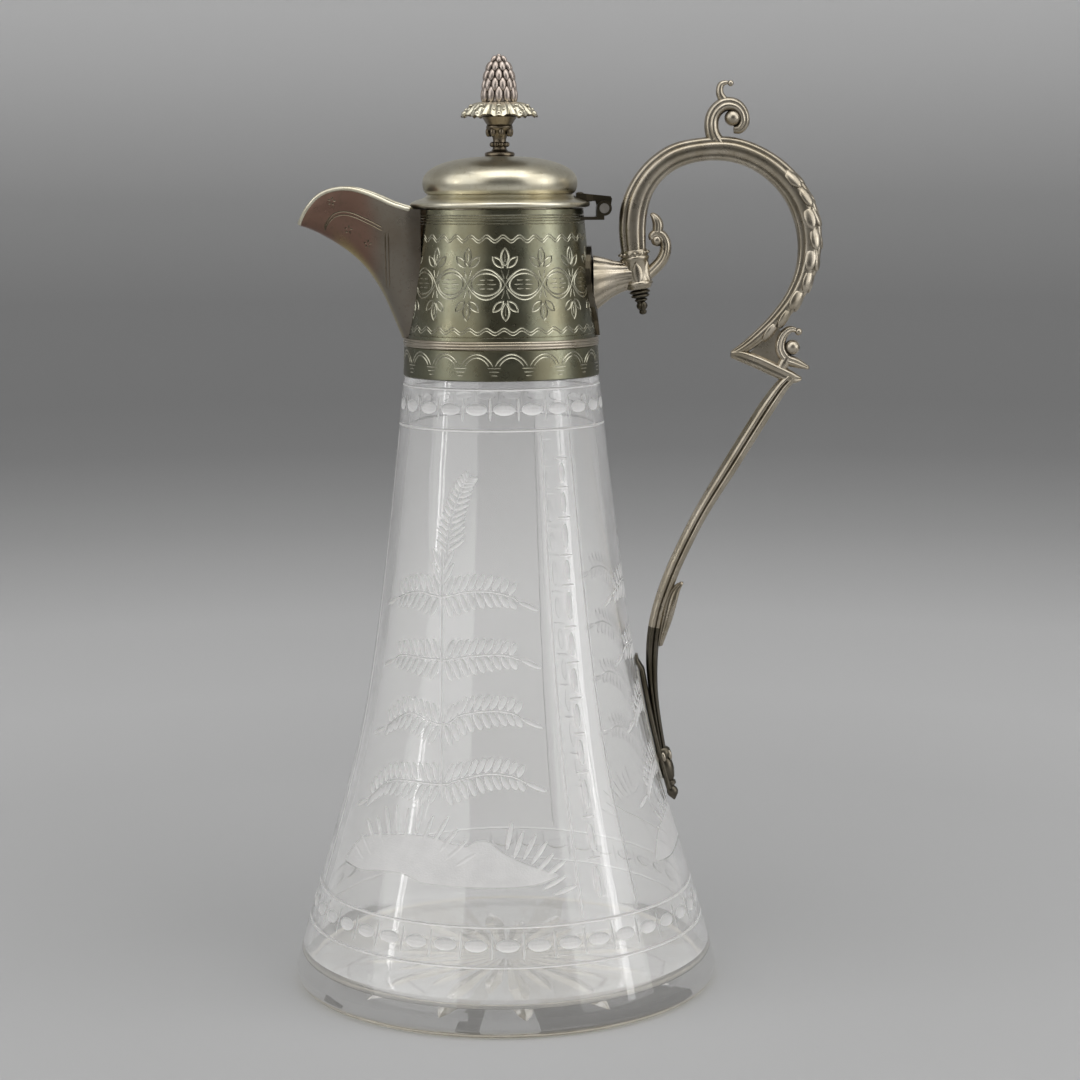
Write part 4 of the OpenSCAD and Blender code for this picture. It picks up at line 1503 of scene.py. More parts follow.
@dataclass
class Spout:
    """The beak: a trough of sheet metal with a rolled edge and engraved sides.

    Its stations are x, the height of the top edge, the height of the keel and the half width.
    """

    stations: tuple[Station, ...] = (
        (-24, 243, 186, 12.6), (-27.5, 243.3, 195.5, 12.2), (-30, 244, 202, 11.7),
        (-33, 245, 209.5, 11), (-36.5, 246.6, 217.5, 10.1), (-41, 248.4, 224.5, 9),
        (-46, 249.6, 229.5, 7.9), (-51, 249.3, 233, 6.8), (-55.5, 247.4, 235.6, 5.6),
        (-59, 243.8, 237.2, 4), (-61, 240.4, 237.9, 2.4), (-61.8, 238.7, 238.1, 1.1),
    )
    thickness: float = 1.0
    sides: int = 24

    def at(self, x: float) -> tuple[float, float, float]:
        """Returns the top edge, the keel and the half width at a distance along the spout."""
        rows = self.rows()
        xs = [-row[0] for row in rows]
        return tuple(float(np.interp(-x, xs, [row[k] for row in rows])) for k in (1, 2, 3))

    def rows(self) -> list[tuple[float, ...]]:
        """Returns the stations on a smooth curve."""
        return refine(self.stations, 4)

    def trough(self, row: Sequence[float], inset: float) -> list[Vector]:
        """Returns the U at a station, moved inwards."""
        x, top, keel, half = row
        wide, deep = max(half - inset, 0.35), max(top - keel - inset, 0.3)
        points = []
        for j in range(self.sides + 1):
            a = math.radians(-90 + 180 * j / self.sides)
            y = wide * math.copysign(abs(math.sin(a)) ** 0.9, math.sin(a))
            points.append(Vector((x, y, top - deep * max(math.cos(a), 0.0) ** 0.8)))
        return points

    def point(self, x: float, z: float) -> Vector:
        """Returns the point of the near side at a distance and a height."""
        top, keel, half = self.at(x)
        share = min(max((top - z) / (top - keel), 0.0), 1.0) ** 1.25
        return Vector((x, -half * math.sin(math.acos(share)) ** 0.9, z))

    def outward(self, x: float, z: float) -> Vector:
        """Returns the direction that points away from the near side."""
        along = self.point(x - 0.3, z) - self.point(x + 0.3, z)
        up = self.point(x, z + 0.3) - self.point(x, z - 0.3)
        away = up.cross(along)
        return away.normalized() * (1 if away.y < 0 else -1)

    def build(self, plate: Finish, lines: Finish, silver: Finish) -> None:
        """Builds the spout, trimmed to the collar, with its edge and its engraving.

        Args:
            plate: The coppery plate.
            lines: The engraved lines.
            silver: The cleaner metal of the edge.
        """
        form = Form("spout_trough")
        rows = self.rows()
        form.loft([self.trough(row, 0) + self.trough(row, self.thickness)[::-1] for row in rows])
        made = form.object(plate, lines)
        trim = Form("trim_cutter")
        outline = [(0, 180), (30.5, 180), (30.5, 203.8), (29.25, 203.8), (23.9, 262), (0, 262)]
        trim.lathe(outline, 160, closed=False)
        subtract(made, trim)
        for side in (-1, 1):
            subtract(made, self.engraving(side))
        shade_smooth(made, 24)
        made.name = "spout_beak"
        hand_over(made, Body.JUG, Slot.ENGRAVED, "spout")
        self.build_edge(silver)

    def engraving(self, side: int) -> Form:
        """Returns the cutter of one side's lines and flowers, the near side's at -1."""
        form = Form("spout_cutter")
        arch = (
            (-54.0, 236.9), (-52.6, 239.4), (-50.4, 241.4), (-47.6, 242.0), (-44.6, 241.4),
            (-41.6, 240.1), (-38.0, 238.4), (-35.8, 237.2),
        )
        flowers = ((-51.3, 245.6), (-46.3, 237.0), (-40.4, 232.6))
        for shift in (-0.5, 0.5):
            above = [(x, z + shift) for x, z in refine(arch, 3)]
            beside = [(-34.4 + shift, z) for z in np.linspace(236.0, 219.0, 12)]
            for course in (above, beside):
                form.stroke(self, course, 0.5, 0.16, material=1)
        for x, z in flowers:
            for turn in range(0, 360, 72):
                angle = math.radians(turn + 10)
                petal = [(x + t * math.cos(angle), z + t * math.sin(angle)) for t in (0.45, 0.9, 1.35)]
                form.stroke(self, petal, 0.7, 0.2, material=1)
        if side > 0:
            bmesh.ops.transform(form.bm, matrix=Matrix.Diagonal((1, -1, 1, 1)), verts=form.bm.verts[:])
            bmesh.ops.reverse_faces(form.bm, faces=form.bm.faces[:])
        return form

    def build_edge(self, silver: Finish) -> None:
        """Builds the rolled top edge."""
        rows = self.rows()
        edge = Form("spout_edge")
        for side in (-1, 1):
            rail = [Vector((r[0], side * (r[3] - 0.35), r[1] - 0.25)) for r in rows if r[0] < -26.2]
            edge.pipe(rail, 0.72, 12)
        rim = edge.object(silver)
        shade_smooth(rim, 60)
        hand_over(rim, Body.JUG, Slot.PLATE)


# The lid and its finial


@dataclass
class Lid:
    """The hinged lid: a spun dome on a flat flange."""

    dome_radius: float = 23.85
    dome_height: float = 8.2
    dome_middle: float = 250.8
    dome_power: float = 2.3
    dome_foot: float = 22.3
    flange_low: float = 243.3
    flange_top: float = 247.6
    flange_radius: float = 27.7
    flange_inner: float = 20.7
    stud_radius: float = 1.2
    sheet: float = 0.9
    steps: int = 192

    def dome_side(self, inset: float) -> list[Point]:
        """Returns the dome's section from its foot to its middle.

        Args:
            inset: How far it lies inside the outer side.

        Returns:
            The points: a tuck that curves in to the foot, then the cap.
        """
        tuck = []
        for i in range(8):
            a = math.radians(82 - 11 * i)
            swell = (self.dome_radius - self.dome_foot) * math.cos(a)
            tuck.append((self.dome_foot + swell - inset, self.dome_middle - 3.25 * math.sin(a)))
        cap = []
        for i in range(33):
            a = math.radians(90 * i / 32)
            power = 2 / self.dome_power
            radius = (self.dome_radius - inset) * max(math.cos(a), 0.0) ** power
            cap.append((radius, self.dome_middle + (self.dome_height - inset) * math.sin(a) ** power))
        return tuck + [p for p in cap if p[0] > self.stud_radius + 0.05]

    def build(self, silver: Finish) -> None:
        """Builds the dome and the flange."""
        outer, inner = self.dome_side(0), self.dome_side(self.sheet)
        top = self.dome_middle + self.dome_height
        outline = [
            (self.dome_foot, self.flange_top),
            *outer,
            (self.stud_radius, top),
            (self.stud_radius, top - self.sheet),
            *inner[::-1],
            (self.dome_foot - self.sheet, self.flange_top),
        ]
        dome = Form("lid_dome_spun")
        dome.lathe(outline, self.steps)
        made = dome.object(silver)
        shade_smooth(made, 50)
        hand_over(made, Body.LID, Slot.PLATE, "lid_dome", "lid_crown")
        self.build_flange(silver)

    def build_flange(self, silver: Finish) -> None:
        """Builds the flange with its rolled rim."""
        inner, low = self.flange_inner, self.flange_low
        outline = [
            (inner, low + 1),
            (inner + 1.2, low),
            (self.flange_radius - 0.9, low),
            *arc((self.flange_radius - 0.9, low + 1), 0.9, -62, 70, 9),
            *[(26.5, low + 2.05), (26.1, low + 2.3), (25.2, low + 2.55)],
            *[(24.0, low + 2.9), (23.1, low + 3.35), (22.6, low + 3.85)],
            (self.dome_foot, self.flange_top),
            (inner, self.flange_top),
        ]
        flange = Form("lid_flange_turned")
        flange.lathe(outline, self.steps)
        made = flange.object(silver)
        shade_smooth(made, 32)
        hand_over(made, Body.LID, Slot.PLATE, "lid_flange")


@dataclass
class Finial:
    """The finial: a turned stem, a drooping rosette of leaves and a bud of seeds.

    A row of seeds gives its radius, its height, half its seeds' length and their number.
    """

    foot: float = 259.0
    rosette_low: float = 270.8
    bud_low: float = 275.6
    seed_rows: tuple[tuple[float, float, float, int], ...] = (
        (4.75, 277.6, 2.4, 12), (4.5, 280.6, 2.1, 12), (4.0, 283.4, 1.9, 11), (3.1, 286.0, 1.7, 9),
        (1.7, 288.1, 1.35, 6),
    )
    reach: float = 12.2
    lobes: int = 10

    def build(self, silver: Finish, bronze_and_shade: Finish, seeds: Finish) -> None:
        """Builds the three pieces.

        Args:
            silver: The clean plate of the rosette's upper side.
            bronze_and_shade: The browned plate of the stem, also the painted shade on the rosette's
                underside.
            seeds: The rubbed plate of the bud.
        """
        self.build_stem(bronze_and_shade)
        self.build_rosette(silver, bronze_and_shade)
        self.build_bud(seeds)

    def build_stem(self, bronze_and_shade: Finish) -> None:
        """Builds the stem with its beaded knob and its cup."""
        z = self.foot
        outline = [
            (1.2, z - 0.02), (4.35, z - 0.02), (4.6, z + 0.2), (4.6, z + 0.8), (4.4, z + 1.1),
            (3.4, z + 1.35), (2.6, z + 1.6), (2.15, z + 2.1), (2.1, z + 2.6), (2.2, z + 3.0),
            (2.35, z + 3.4), (2.2, z + 3.9), (2.0, z + 4.6), (2.1, z + 5.4), (2.4, z + 6.2),
            (2.8, z + 7.0), (3.5, z + 7.7), (3.9, z + 8.2), (4.1, z + 8.7), (4.05, z + 9.1),
            (3.8, z + 9.4), (4.2, z + 10.0), (4.8, z + 11.0), (5.4, self.rosette_low),
            (1.2, self.rosette_low),
        ]
        form = Form("finial_stem_turned")
        form.lathe(outline, 72)
        for k in range(10):
            form.bead(polar(2.25, 36 * k + 12, z + 3.5), (0.85, 0.85, 0.8))
        for k in range(8):
            form.bead(polar(3.5, 45 * k + 10, z + 7.3), (0.8, 0.8, 1.5))
        made = form.object(bronze_and_shade)
        shade_smooth(made, 45)
        hand_over(made, Body.LID, Slot.PLATE, "finial_stem")

    def build_rosette(self, silver: Finish, bronze_and_shade: Finish) -> None:
        """Builds the skirt of leaves that droops round the bud."""
        form = Form("finial_rosette_cast")
        upper = (
            (5.0, 275.3), (6.3, 275.2), (8.2, 274.5), (10.0, 273.3), (11.4, 272.0), (self.reach, 271.0)
        )
        top = refine(upper, 4)
        under = refine(((11.9, 270.75), (10.6, 271.4), (8.4, 271.7), (6.4, 271.2), (5.0, 270.9)), 3)
        form.loft([self._skirt(r, z, (r - 5.0) / 7.2) for r, z in top + under], closed=True)
        # Faces that look downwards take the darker plate: painted shade under the rosette.
        for face in form.bm.faces:
            face.material_index = 1 if face.normal.z < -0.1 else 0
        for k in range(self.lobes):
            azimuth = 360 * k / self.lobes
            form.bead(polar(11.1, azimuth, 271.75), (0.95, 0.95, 0.85))
            form.bead(polar(9.0, azimuth, 274.15), (0.75, 0.75, 0.5))
            for side in (-1, 1):
                form.bead(polar(10.2, azimuth + side * 8.5, 272.85), 0.6)
        made = form.object(silver, bronze_and_shade)
        shade_smooth(made, 60)
        hand_over(made, Body.LID, Slot.PLATE, "finial_rosette")

    def _skirt(self, radius: float, height: float, share: float) -> list[Vector]:
        """Returns one ring of the skirt, scalloped and ribbed in its share of the lobes."""
        points = []
        for i in range(24 * self.lobes):
            azimuth = 15 * i / self.lobes
            lobe = abs(math.cos(math.radians(azimuth * self.lobes / 2))) ** 0.55
            rib = 0.22 * math.cos(math.radians(3 * self.lobes * azimuth)) * min(share * 2, 1)
            shrink = 1.7 * share * share * (1 - lobe)
            points.append(polar(radius - shrink, azimuth, height + rib + 0.8 * share * (1 - lobe)))
        return points

    def build_bud(self, seeds: Finish) -> None:
        """Builds the bud: rows of upright almond seeds on a tapering core."""
        form = Form("finial_bud_cast")
        low = self.bud_low
        core = [
            (1.25, low - 0.5), (4.6, low), (4.7, 277.6), (4.3, 281), (3.5, 284.4), (2.3, 287.2),
            (1.0, 288.6), (0.0, 288.9), (0.0, low + 1),
        ]
        form.lathe(core, 48, closed=False)
        for row, (radius, height, tall, count) in enumerate(self.seed_rows):
            wide = math.pi * radius / count * 0.94
            for k in range(count):
                azimuth = 360 * (k + 0.5 * (row % 2)) / count
                turn = Matrix.Rotation(math.radians(azimuth), 4, "Z")
                turn @= Matrix.Rotation(math.radians(-4 - 7 * row), 4, "X")
                size = Matrix.Diagonal((wide, 0.95, tall, 1))
                form.ball(Matrix.Translation(polar(radius, azimuth, height)) @ turn @ size, 12, 8)
        form.bead((0, 0, 289.0), (0.8, 0.8, 0.9))
        made = form.object(seeds)
        shade_smooth(made, 60)
        hand_over(made, Body.LID, Slot.PLATE, "finial_bud")


# The handle


@dataclass
class Handle:
    """The cast scroll handle.

    Its castings' stations are x, z, the half width in the jug's middle plane and the half depth
    across it. The ferrule is given by the x and z of its middle and its lean in degrees.
    """

    loop: tuple[Station, ...] = (
        (41.1, 229.6, 3.9, 3.7), (40.7, 237, 4.2, 3.8), (41.5, 243.6, 4.2, 3.8),
        (44, 249.8, 3.9, 3.8), (48.4, 255.1, 3.8, 3.8), (54.2, 258.8, 3.8, 3.7),
        (61.8, 260.6, 3.6, 3.5), (70.4, 260.7, 3.8, 3.6), (78.4, 258.2, 3.8, 3.7),
        (85.4, 253.6, 3.9, 3.8), (91, 247.2, 4, 3.9), (94.4, 239.6, 4.1, 3.9),
        (95.4, 231.4, 3.7, 3.7), (94.2, 223, 3.3, 3.4), (90.6, 215.2, 2.8, 3),
        (85.3, 208.4, 2.4, 2.7), (80, 203.4, 2.1, 2.5), (75.5, 199.9, 1.7, 2.2),
        (71.6, 197.9, 1, 1.6),
    )
    stem: tuple[Station, ...] = (
        (90, 190.6, 1.9, 2.3), (87, 187.6, 2.2, 2.6), (82.9, 181.8, 2.55, 2.8),
        (78.4, 174.7, 2.6, 2.8), (70.8, 162.4, 2.55, 2.7), (62.3, 148.5, 2.25, 2.5),
        (55.5, 135, 2.2, 2.4), (51.8, 126.2, 2.2, 2.4), (49.2, 118.6, 2.1, 2.3),
        (47.7, 112, 2.1, 2.3), (46.9, 105, 1.95, 2.2), (46.8, 98, 1.75, 2.1),
        (47.4, 90, 1.4, 2), (48.6, 81.5, 1.2, 1.9), (50.1, 72.8, 1.1, 1.8),
    )
    reeds: tuple[tuple[float, float, float], ...] = ((50, 0.17, 8), (130, 0.2, 8))
    darker_below: float = 112.0
    ferrule: tuple[float, float, float] = (41.9, 224.0, 8.0)
    half_ferrule: float = 6.1

    def on_ferrule(self) -> Matrix:
        """Returns the frame whose Z is the leaning axis of the ferrule."""
        x, z, lean = self.ferrule
        return Matrix.Translation((x, 0, z)) @ Matrix.Rotation(math.radians(-lean), 4, "Y")

    def cast(self, form: Form, metals: Sequence[Finish], node: str, angle: float = 48.0) -> None:
        """Finishes a casting that stands for a node, its smooth edges limited by an angle."""
        made = form.object(*metals)
        shade_smooth(made, angle)
        hand_over(made, Body.JUG, Slot.PLATE, node)

    def build(self, silver: Finish, dark: Finish) -> None:
        """Builds the castings.

        Args:
            silver: The worn plate.
            dark: The nearly black plate.
        """
        metals = (silver, dark)
        self.build_bracket(silver)
        self.build_ferrule(metals)
        self.build_inner_curl(metals)
        self.build_loop(metals)
        self.build_crest(metals)
        self.build_loop_leaf(metals)
        self.build_knee(metals)
        self.build_stem(metals)
        self.build_foot(metals)

    def build_bracket(self, silver: Finish) -> None:
        """Builds the fluted bell between the collar and the ferrule."""
        form = Form("handle_bracket_cast")
        section, sides, flutes = [], 96, 12
        for k in range(sides):
            angle = 2 * math.pi * k / sides
            radius = 1 - 0.07 * (0.5 + 0.5 * math.cos(flutes * angle)) ** 2
            section.append((radius * math.cos(angle), radius * math.sin(angle)))
        rows = (
            (28.6, 219.8, 9.0, 7.8), (30.2, 220.2, 8.2, 7.2), (32.6, 220.9, 6.9, 6.1),
            (35.4, 221.5, 5.5, 5.1), (38.4, 222.0, 4.6, 4.3), (40.4, 222.2, 4.3, 4),
        )
        form.bar(rows, section, 5, upright=True)
        made = form.object(silver)
        trim = Form("trim_cutter")
        trim.lathe([(0, 190), (30.9, 190), (30.6, 203.8), (26.8, 238), (0, 238)], 128, closed=False)
        subtract(made, trim)
        shade_smooth(made, 40)
        hand_over(made, Body.JUG, Slot.PLATE, "handle_bracket")

    def build_ferrule(self, metals: Sequence[Finish]) -> None:
        """Builds the ferrule with its rings and worn leaves, and the drop below it."""
        h = self.half_ferrule
        outline = [
            (0, -h), (3.4, -h), (3.9, -5.7), (4.0, -5.3), (4.3, -4.9), (4.55, -4.6), (4.6, -4.2),
            (4.5, -3.8), (4.15, -3.5), (4.15, 2.7), (4.45, 3.1), (4.6, 3.6), (4.5, 4.0), (4.25, 4.3),
            (4.4, 4.7), (4.4, 5.4), (4.1, h), (0, h),
        ]
        form = Form("handle_ferrule_cast")
        form.lathe(outline, 72, closed=False)
        for k in range(6):
            form.sheet(6, 8, self._ferrule_leaf(60 * k), 0.35)
        for k in range(16):
            form.bead(polar(4.35, 22.5 * k, 5.05), (0.62, 0.62, 0.5))
        bmesh.ops.transform(form.bm, matrix=self.on_ferrule(), verts=form.bm.verts[:])
        self.cast(form, metals, "handle_ferrule", angle=40)
        drop = Form("handle_drop_cast")
        beads = (
            (6.9, 3.3, 0.9), (8.1, 2.9, 0.9), (9.4, 2.0, 0.7), (11.2, 1.75, 1.5), (13.1, 1.2, 0.9)
        )
        for low, radius, tall in beads:
            drop.bead((0.02 * low, 0, -low), (radius, 0.95 * radius, tall), material=1)
        core = [(0, -5.9), (1.5, -5.9), (1.4, -9), (0.9, -12.5), (0, -13)]
        drop.lathe(core, 24, closed=False, material=1)
        for side in (-1, 1):
            drop.bead((0.6, side * 1.3, -11.4), (0.9, 0.8, 1.6), 12, material=1)
        bmesh.ops.transform(drop.bm, matrix=self.on_ferrule(), verts=drop.bm.verts[:])
        self.cast(drop, metals, "handle_pendant")

    def _ferrule_leaf(self, azimuth: float) -> Callable[[float, float], Vector]:
        """Returns the shape of one low leaf on the ferrule's barrel."""

        def shape(u: float, v: float) -> Vector:
            """Returns the point at u across the leaf and v along it."""
            half = 24 * math.sin(math.pi * min(0.12 + 0.9 * v, 1)) ** 0.8
            return polar(4.12 + 0.3 * (1 - u * u), azimuth + u * half, -3.4 + 6.0 * v)

        return shape

    def build_inner_curl(self, metals: Sequence[Finish]) -> None:
        """Builds the small curl between the ferrule and the loop."""
        form = Form("handle_inner_curl_cast")
        section = reeded_section(32, ((84, 0.2, 12),))
        curl = (
            (44.2, 221.4, 1.8, 2.2), (47.2, 224.1, 1.9, 2.4), (49.9, 227.2, 1.9, 2.4),
            (51.0, 230.8, 1.8, 2.2), (50.3, 233.8, 1.7, 2.1), (48.5, 235.2, 1.5, 1.9),
            (46.9, 234.5, 1.3, 1.7), (47.0, 233.2, 1.1, 1.4),
        )
        spur = (
            (48.4, 235.4, 1.6, 2.0), (48.6, 238, 1.7, 2), (47.7, 240, 1.3, 1.6), (46.4, 241.3, 0.5, 0.6)
        )
        for stations in (curl, spur):
            form.bar(stations, section, 6, tips=(False, True))
        form.bead((48.3, 0, 233), 1.9)
        self.cast(form, metals, "handle_inner_curl")

    def build_loop(self, metals: Sequence[Finish]) -> None:
        """Builds the reeded upper loop."""
        form = Form("handle_loop_cast")
        form.bar(self.loop, reeded_section(64, self.reeds), 8)
        self.cast(form, metals, "handle_upper_loop", angle=60)

    def build_crest(self, metals: Sequence[Finish]) -> None:
        """Builds the scroll that stands on the loop."""
        form = Form("handle_crest_cast")
        scroll = (
            (67.6, 261.4, 2.6, 2.6), (65.4, 265.2, 2.3, 2.6), (65.0, 269.2, 2.2, 2.5),
            (66.3, 272.3, 2.2, 2.4), (69.0, 274.2, 2.2, 2.3), (72.2, 273.9, 2.1, 2.2),
            (74.3, 271.9, 1.9, 2.1), (74.9, 269, 1.8, 2.0), (73.6, 266.9, 1.6, 1.8),
            (71.6, 266.7, 1.2, 1.4),
        )
        form.bar(scroll, reeded_section(32, ((78, 0.2, 12),)), 6, tips=(False, True))
        spur = (
            (69, 275, 1.5, 1.6), (67.5, 277.6, 1.2, 1.4), (67.9, 280.2, 1, 1.2), (70.2, 281, 0.5, 0.7)
        )
        form.bar(spur, round_section(16), 5, tips=(False, True))
        form.bead((71.4, -0.4, 270.1), (2.5, 2.7, 2.5))
        form.bead((70.8, 0, 280.6), 0.95)
        self.cast(form, metals, "handle_crest_scroll")

    def build_loop_leaf(self, metals: Sequence[Finish]) -> None:
        """Builds the acanthus leaf that wraps the loop's outer side: rows of lobes that overlap."""
        lobe = (1.9, 3.7, 0.85)
        form = Form("handle_leaf_cast")
        rows = refine(self.loop, 4)[38:66]
        for k, (x, z, half_w, half_d) in enumerate(rows[:-1:3]):
            ahead = rows[min(3 * k + 1, len(rows) - 1)]
            way = Vector((ahead[0] - x, 0, ahead[1] - z)).normalized()
            out = Vector((-way.z, 0, way.x))
            share = k / (len(rows) // 3)
            spread = 30 + 55 * math.sin(math.pi * min(0.18 + 0.8 * share, 1))
            for step in (-2, -0.7, 0.7, 2) if k % 2 == 0 else (-1.5, 0, 1.5):
                angle = math.radians(step * spread / 2)
                away = out * math.cos(angle) + Vector((0, 1, 0)) * math.sin(angle)
                centre = Vector((x, 0, z)) + out * half_w * 0.8 * math.cos(angle)
                centre += Vector((0, half_d * 0.98 * math.sin(angle), 0))
                along = (way + 0.2 * away).normalized()
                across = along.cross(away).normalized()
                axes = (across * lobe[0], along * lobe[1], across.cross(along) * lobe[2])
                frame = Matrix(axes).transposed().to_4x4()
                frame.translation = centre
                form.ball(frame, 12, 8)
        self.cast(form, metals, "handle_loop_leaf", angle=70)

    def build_knee(self, metals: Sequence[Finish]) -> None:
        """Builds the knee bar and the scroll beside it."""
        bar = Form("handle_knee_cast")
        slope = (
            (71, 197.8, 1.1, 1.8), (74, 197.4, 1.9, 2.5), (79.4, 195.4, 2.2, 2.8),
            (85.4, 192.6, 2.2, 2.8), (90.4, 190.4, 1.9, 2.6), (93.4, 190, 0.5, 1.0),
        )
        bar.bar(slope, reeded_section(32, ((96, 0.3, 26),)), 6, tips=(True, True))
        self.cast(bar, metals, "handle_knee_bar")
        curl = Form("handle_knee_curl_cast")
        scroll = (
            (91.6, 205.2, 0.8, 1.2), (89.2, 205.2, 1.2, 1.6), (87.0, 202.8, 1.6, 2),
            (86.6, 199.2, 1.8, 2.1), (88.5, 196.2, 1.8, 2.2), (91.8, 194.9, 1.6, 2),
            (95.8, 193.2, 0.5, 0.8),
        )
        curl.bar(scroll, reeded_section(32, ((90, 0.22, 14),)), 6, tips=(True, True))
        foot = ((89, 197.4, 1.6, 1.8), (87.6, 194.8, 2, 2.2), (86.4, 192.6, 1.6, 2))
        curl.bar(foot, round_section(20), 4)
        web = [
            (76.4, 197.6), (79.6, 200.6), (82.6, 203.4), (85.8, 206.2), (86.6, 204.6), (86.2, 202),
            (86, 199.4), (87.4, 196.6), (87.4, 193.6), (82, 195.2),
        ]
        curl.loft([[Vector((x, y, z)) for x, z in web] for y in (-0.9, 0.9)])
        curl.bead((90.3, 0, 199.8), 2.4)
        curl.bead((92.2, 0, 204.6), 1.2)
        self.cast(curl, metals, "handle_knee_curl")

    def build_stem(self, metals: Sequence[Finish]) -> None:
        """Builds the lower stem and the small leaf that leaves it."""
        form = Form("handle_stem_cast")
        section = reeded_section(48, ((84, 0.36, 12), (28, 0.12, 9), (150, 0.12, 9)))
        form.bar(self.stem, section, 6)
        # Faces below a height take the nearly black plate, so the stem is darker towards the bottom.
        for face in form.bm.faces:
            face.material_index = 1 if face.calc_center_median().z < self.darker_below else 0
        self.cast(form, metals, "handle_lower_stem", angle=60)
        leaf = Form("handle_spray_cast")
        spray = (
            (49.2, 105.6, 0.8, 0.9), (50.2, 110, 1.4, 1.9), (51.6, 115.4, 1.9, 2.4),
            (52.9, 120.6, 2, 2.2), (54.4, 124, 1.4, 1.4), (56.6, 126.3, 0.4, 0.5),
        )
        section = reeded_section(24, ((0, 0.3, 14), (60, 0.3, 12), (110, 0.3, 12)))
        leaf.bar(spray, section, 5, tips=(True, True))
        self.cast(leaf, metals, "handle_lower_leaf")

    def build_foot(self, metals: Sequence[Finish]) -> None:
        """Builds the strap that lies along the glass and the turned end below it."""
        strap = Form("handle_strap_cast")
        glass = GlassBody()
        rows = []
        for i in range(21):
            x, z = glass.side(0.34 + 0.29 * i / 20, 1.6)
            rows.append((x, z, 1.05, 2.75))
        rows += [(41.9, 101.6, 0.9, 2.5), (41.9, 103.3, 0.5, 1.8)]
        strap.bar(rows, reeded_section(24, ((180, 0.2, 20),)), 1, material=1)
        self.cast(strap, metals, "handle_foot_strap")
        end = Form("handle_end_turned")
        outline = [
            (0, -0.4), (1.9, -0.4), (2.5, 0.3), (2.6, 2), (2.2, 2.7), (1.8, 3.2), (2.3, 4.4),
            (2.4, 6.6), (1.9, 9.4), (1.3, 10.4), (1.8, 10.8), (1.8, 11.8), (1.2, 12.2), (1.1, 12.6),
            (1.6, 13.2), (1.85, 14.2), (1.6, 15.2), (1, 16), (0.4, 16.8), (0, 17.1),
        ]
        end.lathe(outline, 40, closed=False, material=1)
        for k in range(6):
            end.bead(polar(2.3, 60 * k, 2.2), (0.7, 0.7, 1.6))
        stand = Matrix.Translation((49.9, 0, 72.6)) @ Matrix.Rotation(math.radians(180 - 14), 4, "Y")
        bmesh.ops.transform(end.bm, matrix=stand, verts=end.bm.verts[:])
        made = end.object(*metals)
        cone = Form("trim_cutter")
        side = [glass.side(i / 30, 0.05) for i in range(31)]
        cone.lathe([(0, 4), *side, (0, side[-1][1])], 160, closed=False)
        subtract(made, cone)
        shade_smooth(made, 40)
        hand_over(made, Body.JUG, Slot.PLATE, "handle_foot_end")


# The studio


@dataclass(frozen=True)
class Softbox:
    """A square or upright lamp: its place and target, its two sides and its power in watts."""

    name: str
    place: tuple[float, float, float]
    target: tuple[float, float, float]
    size: tuple[float, float]
    power: float


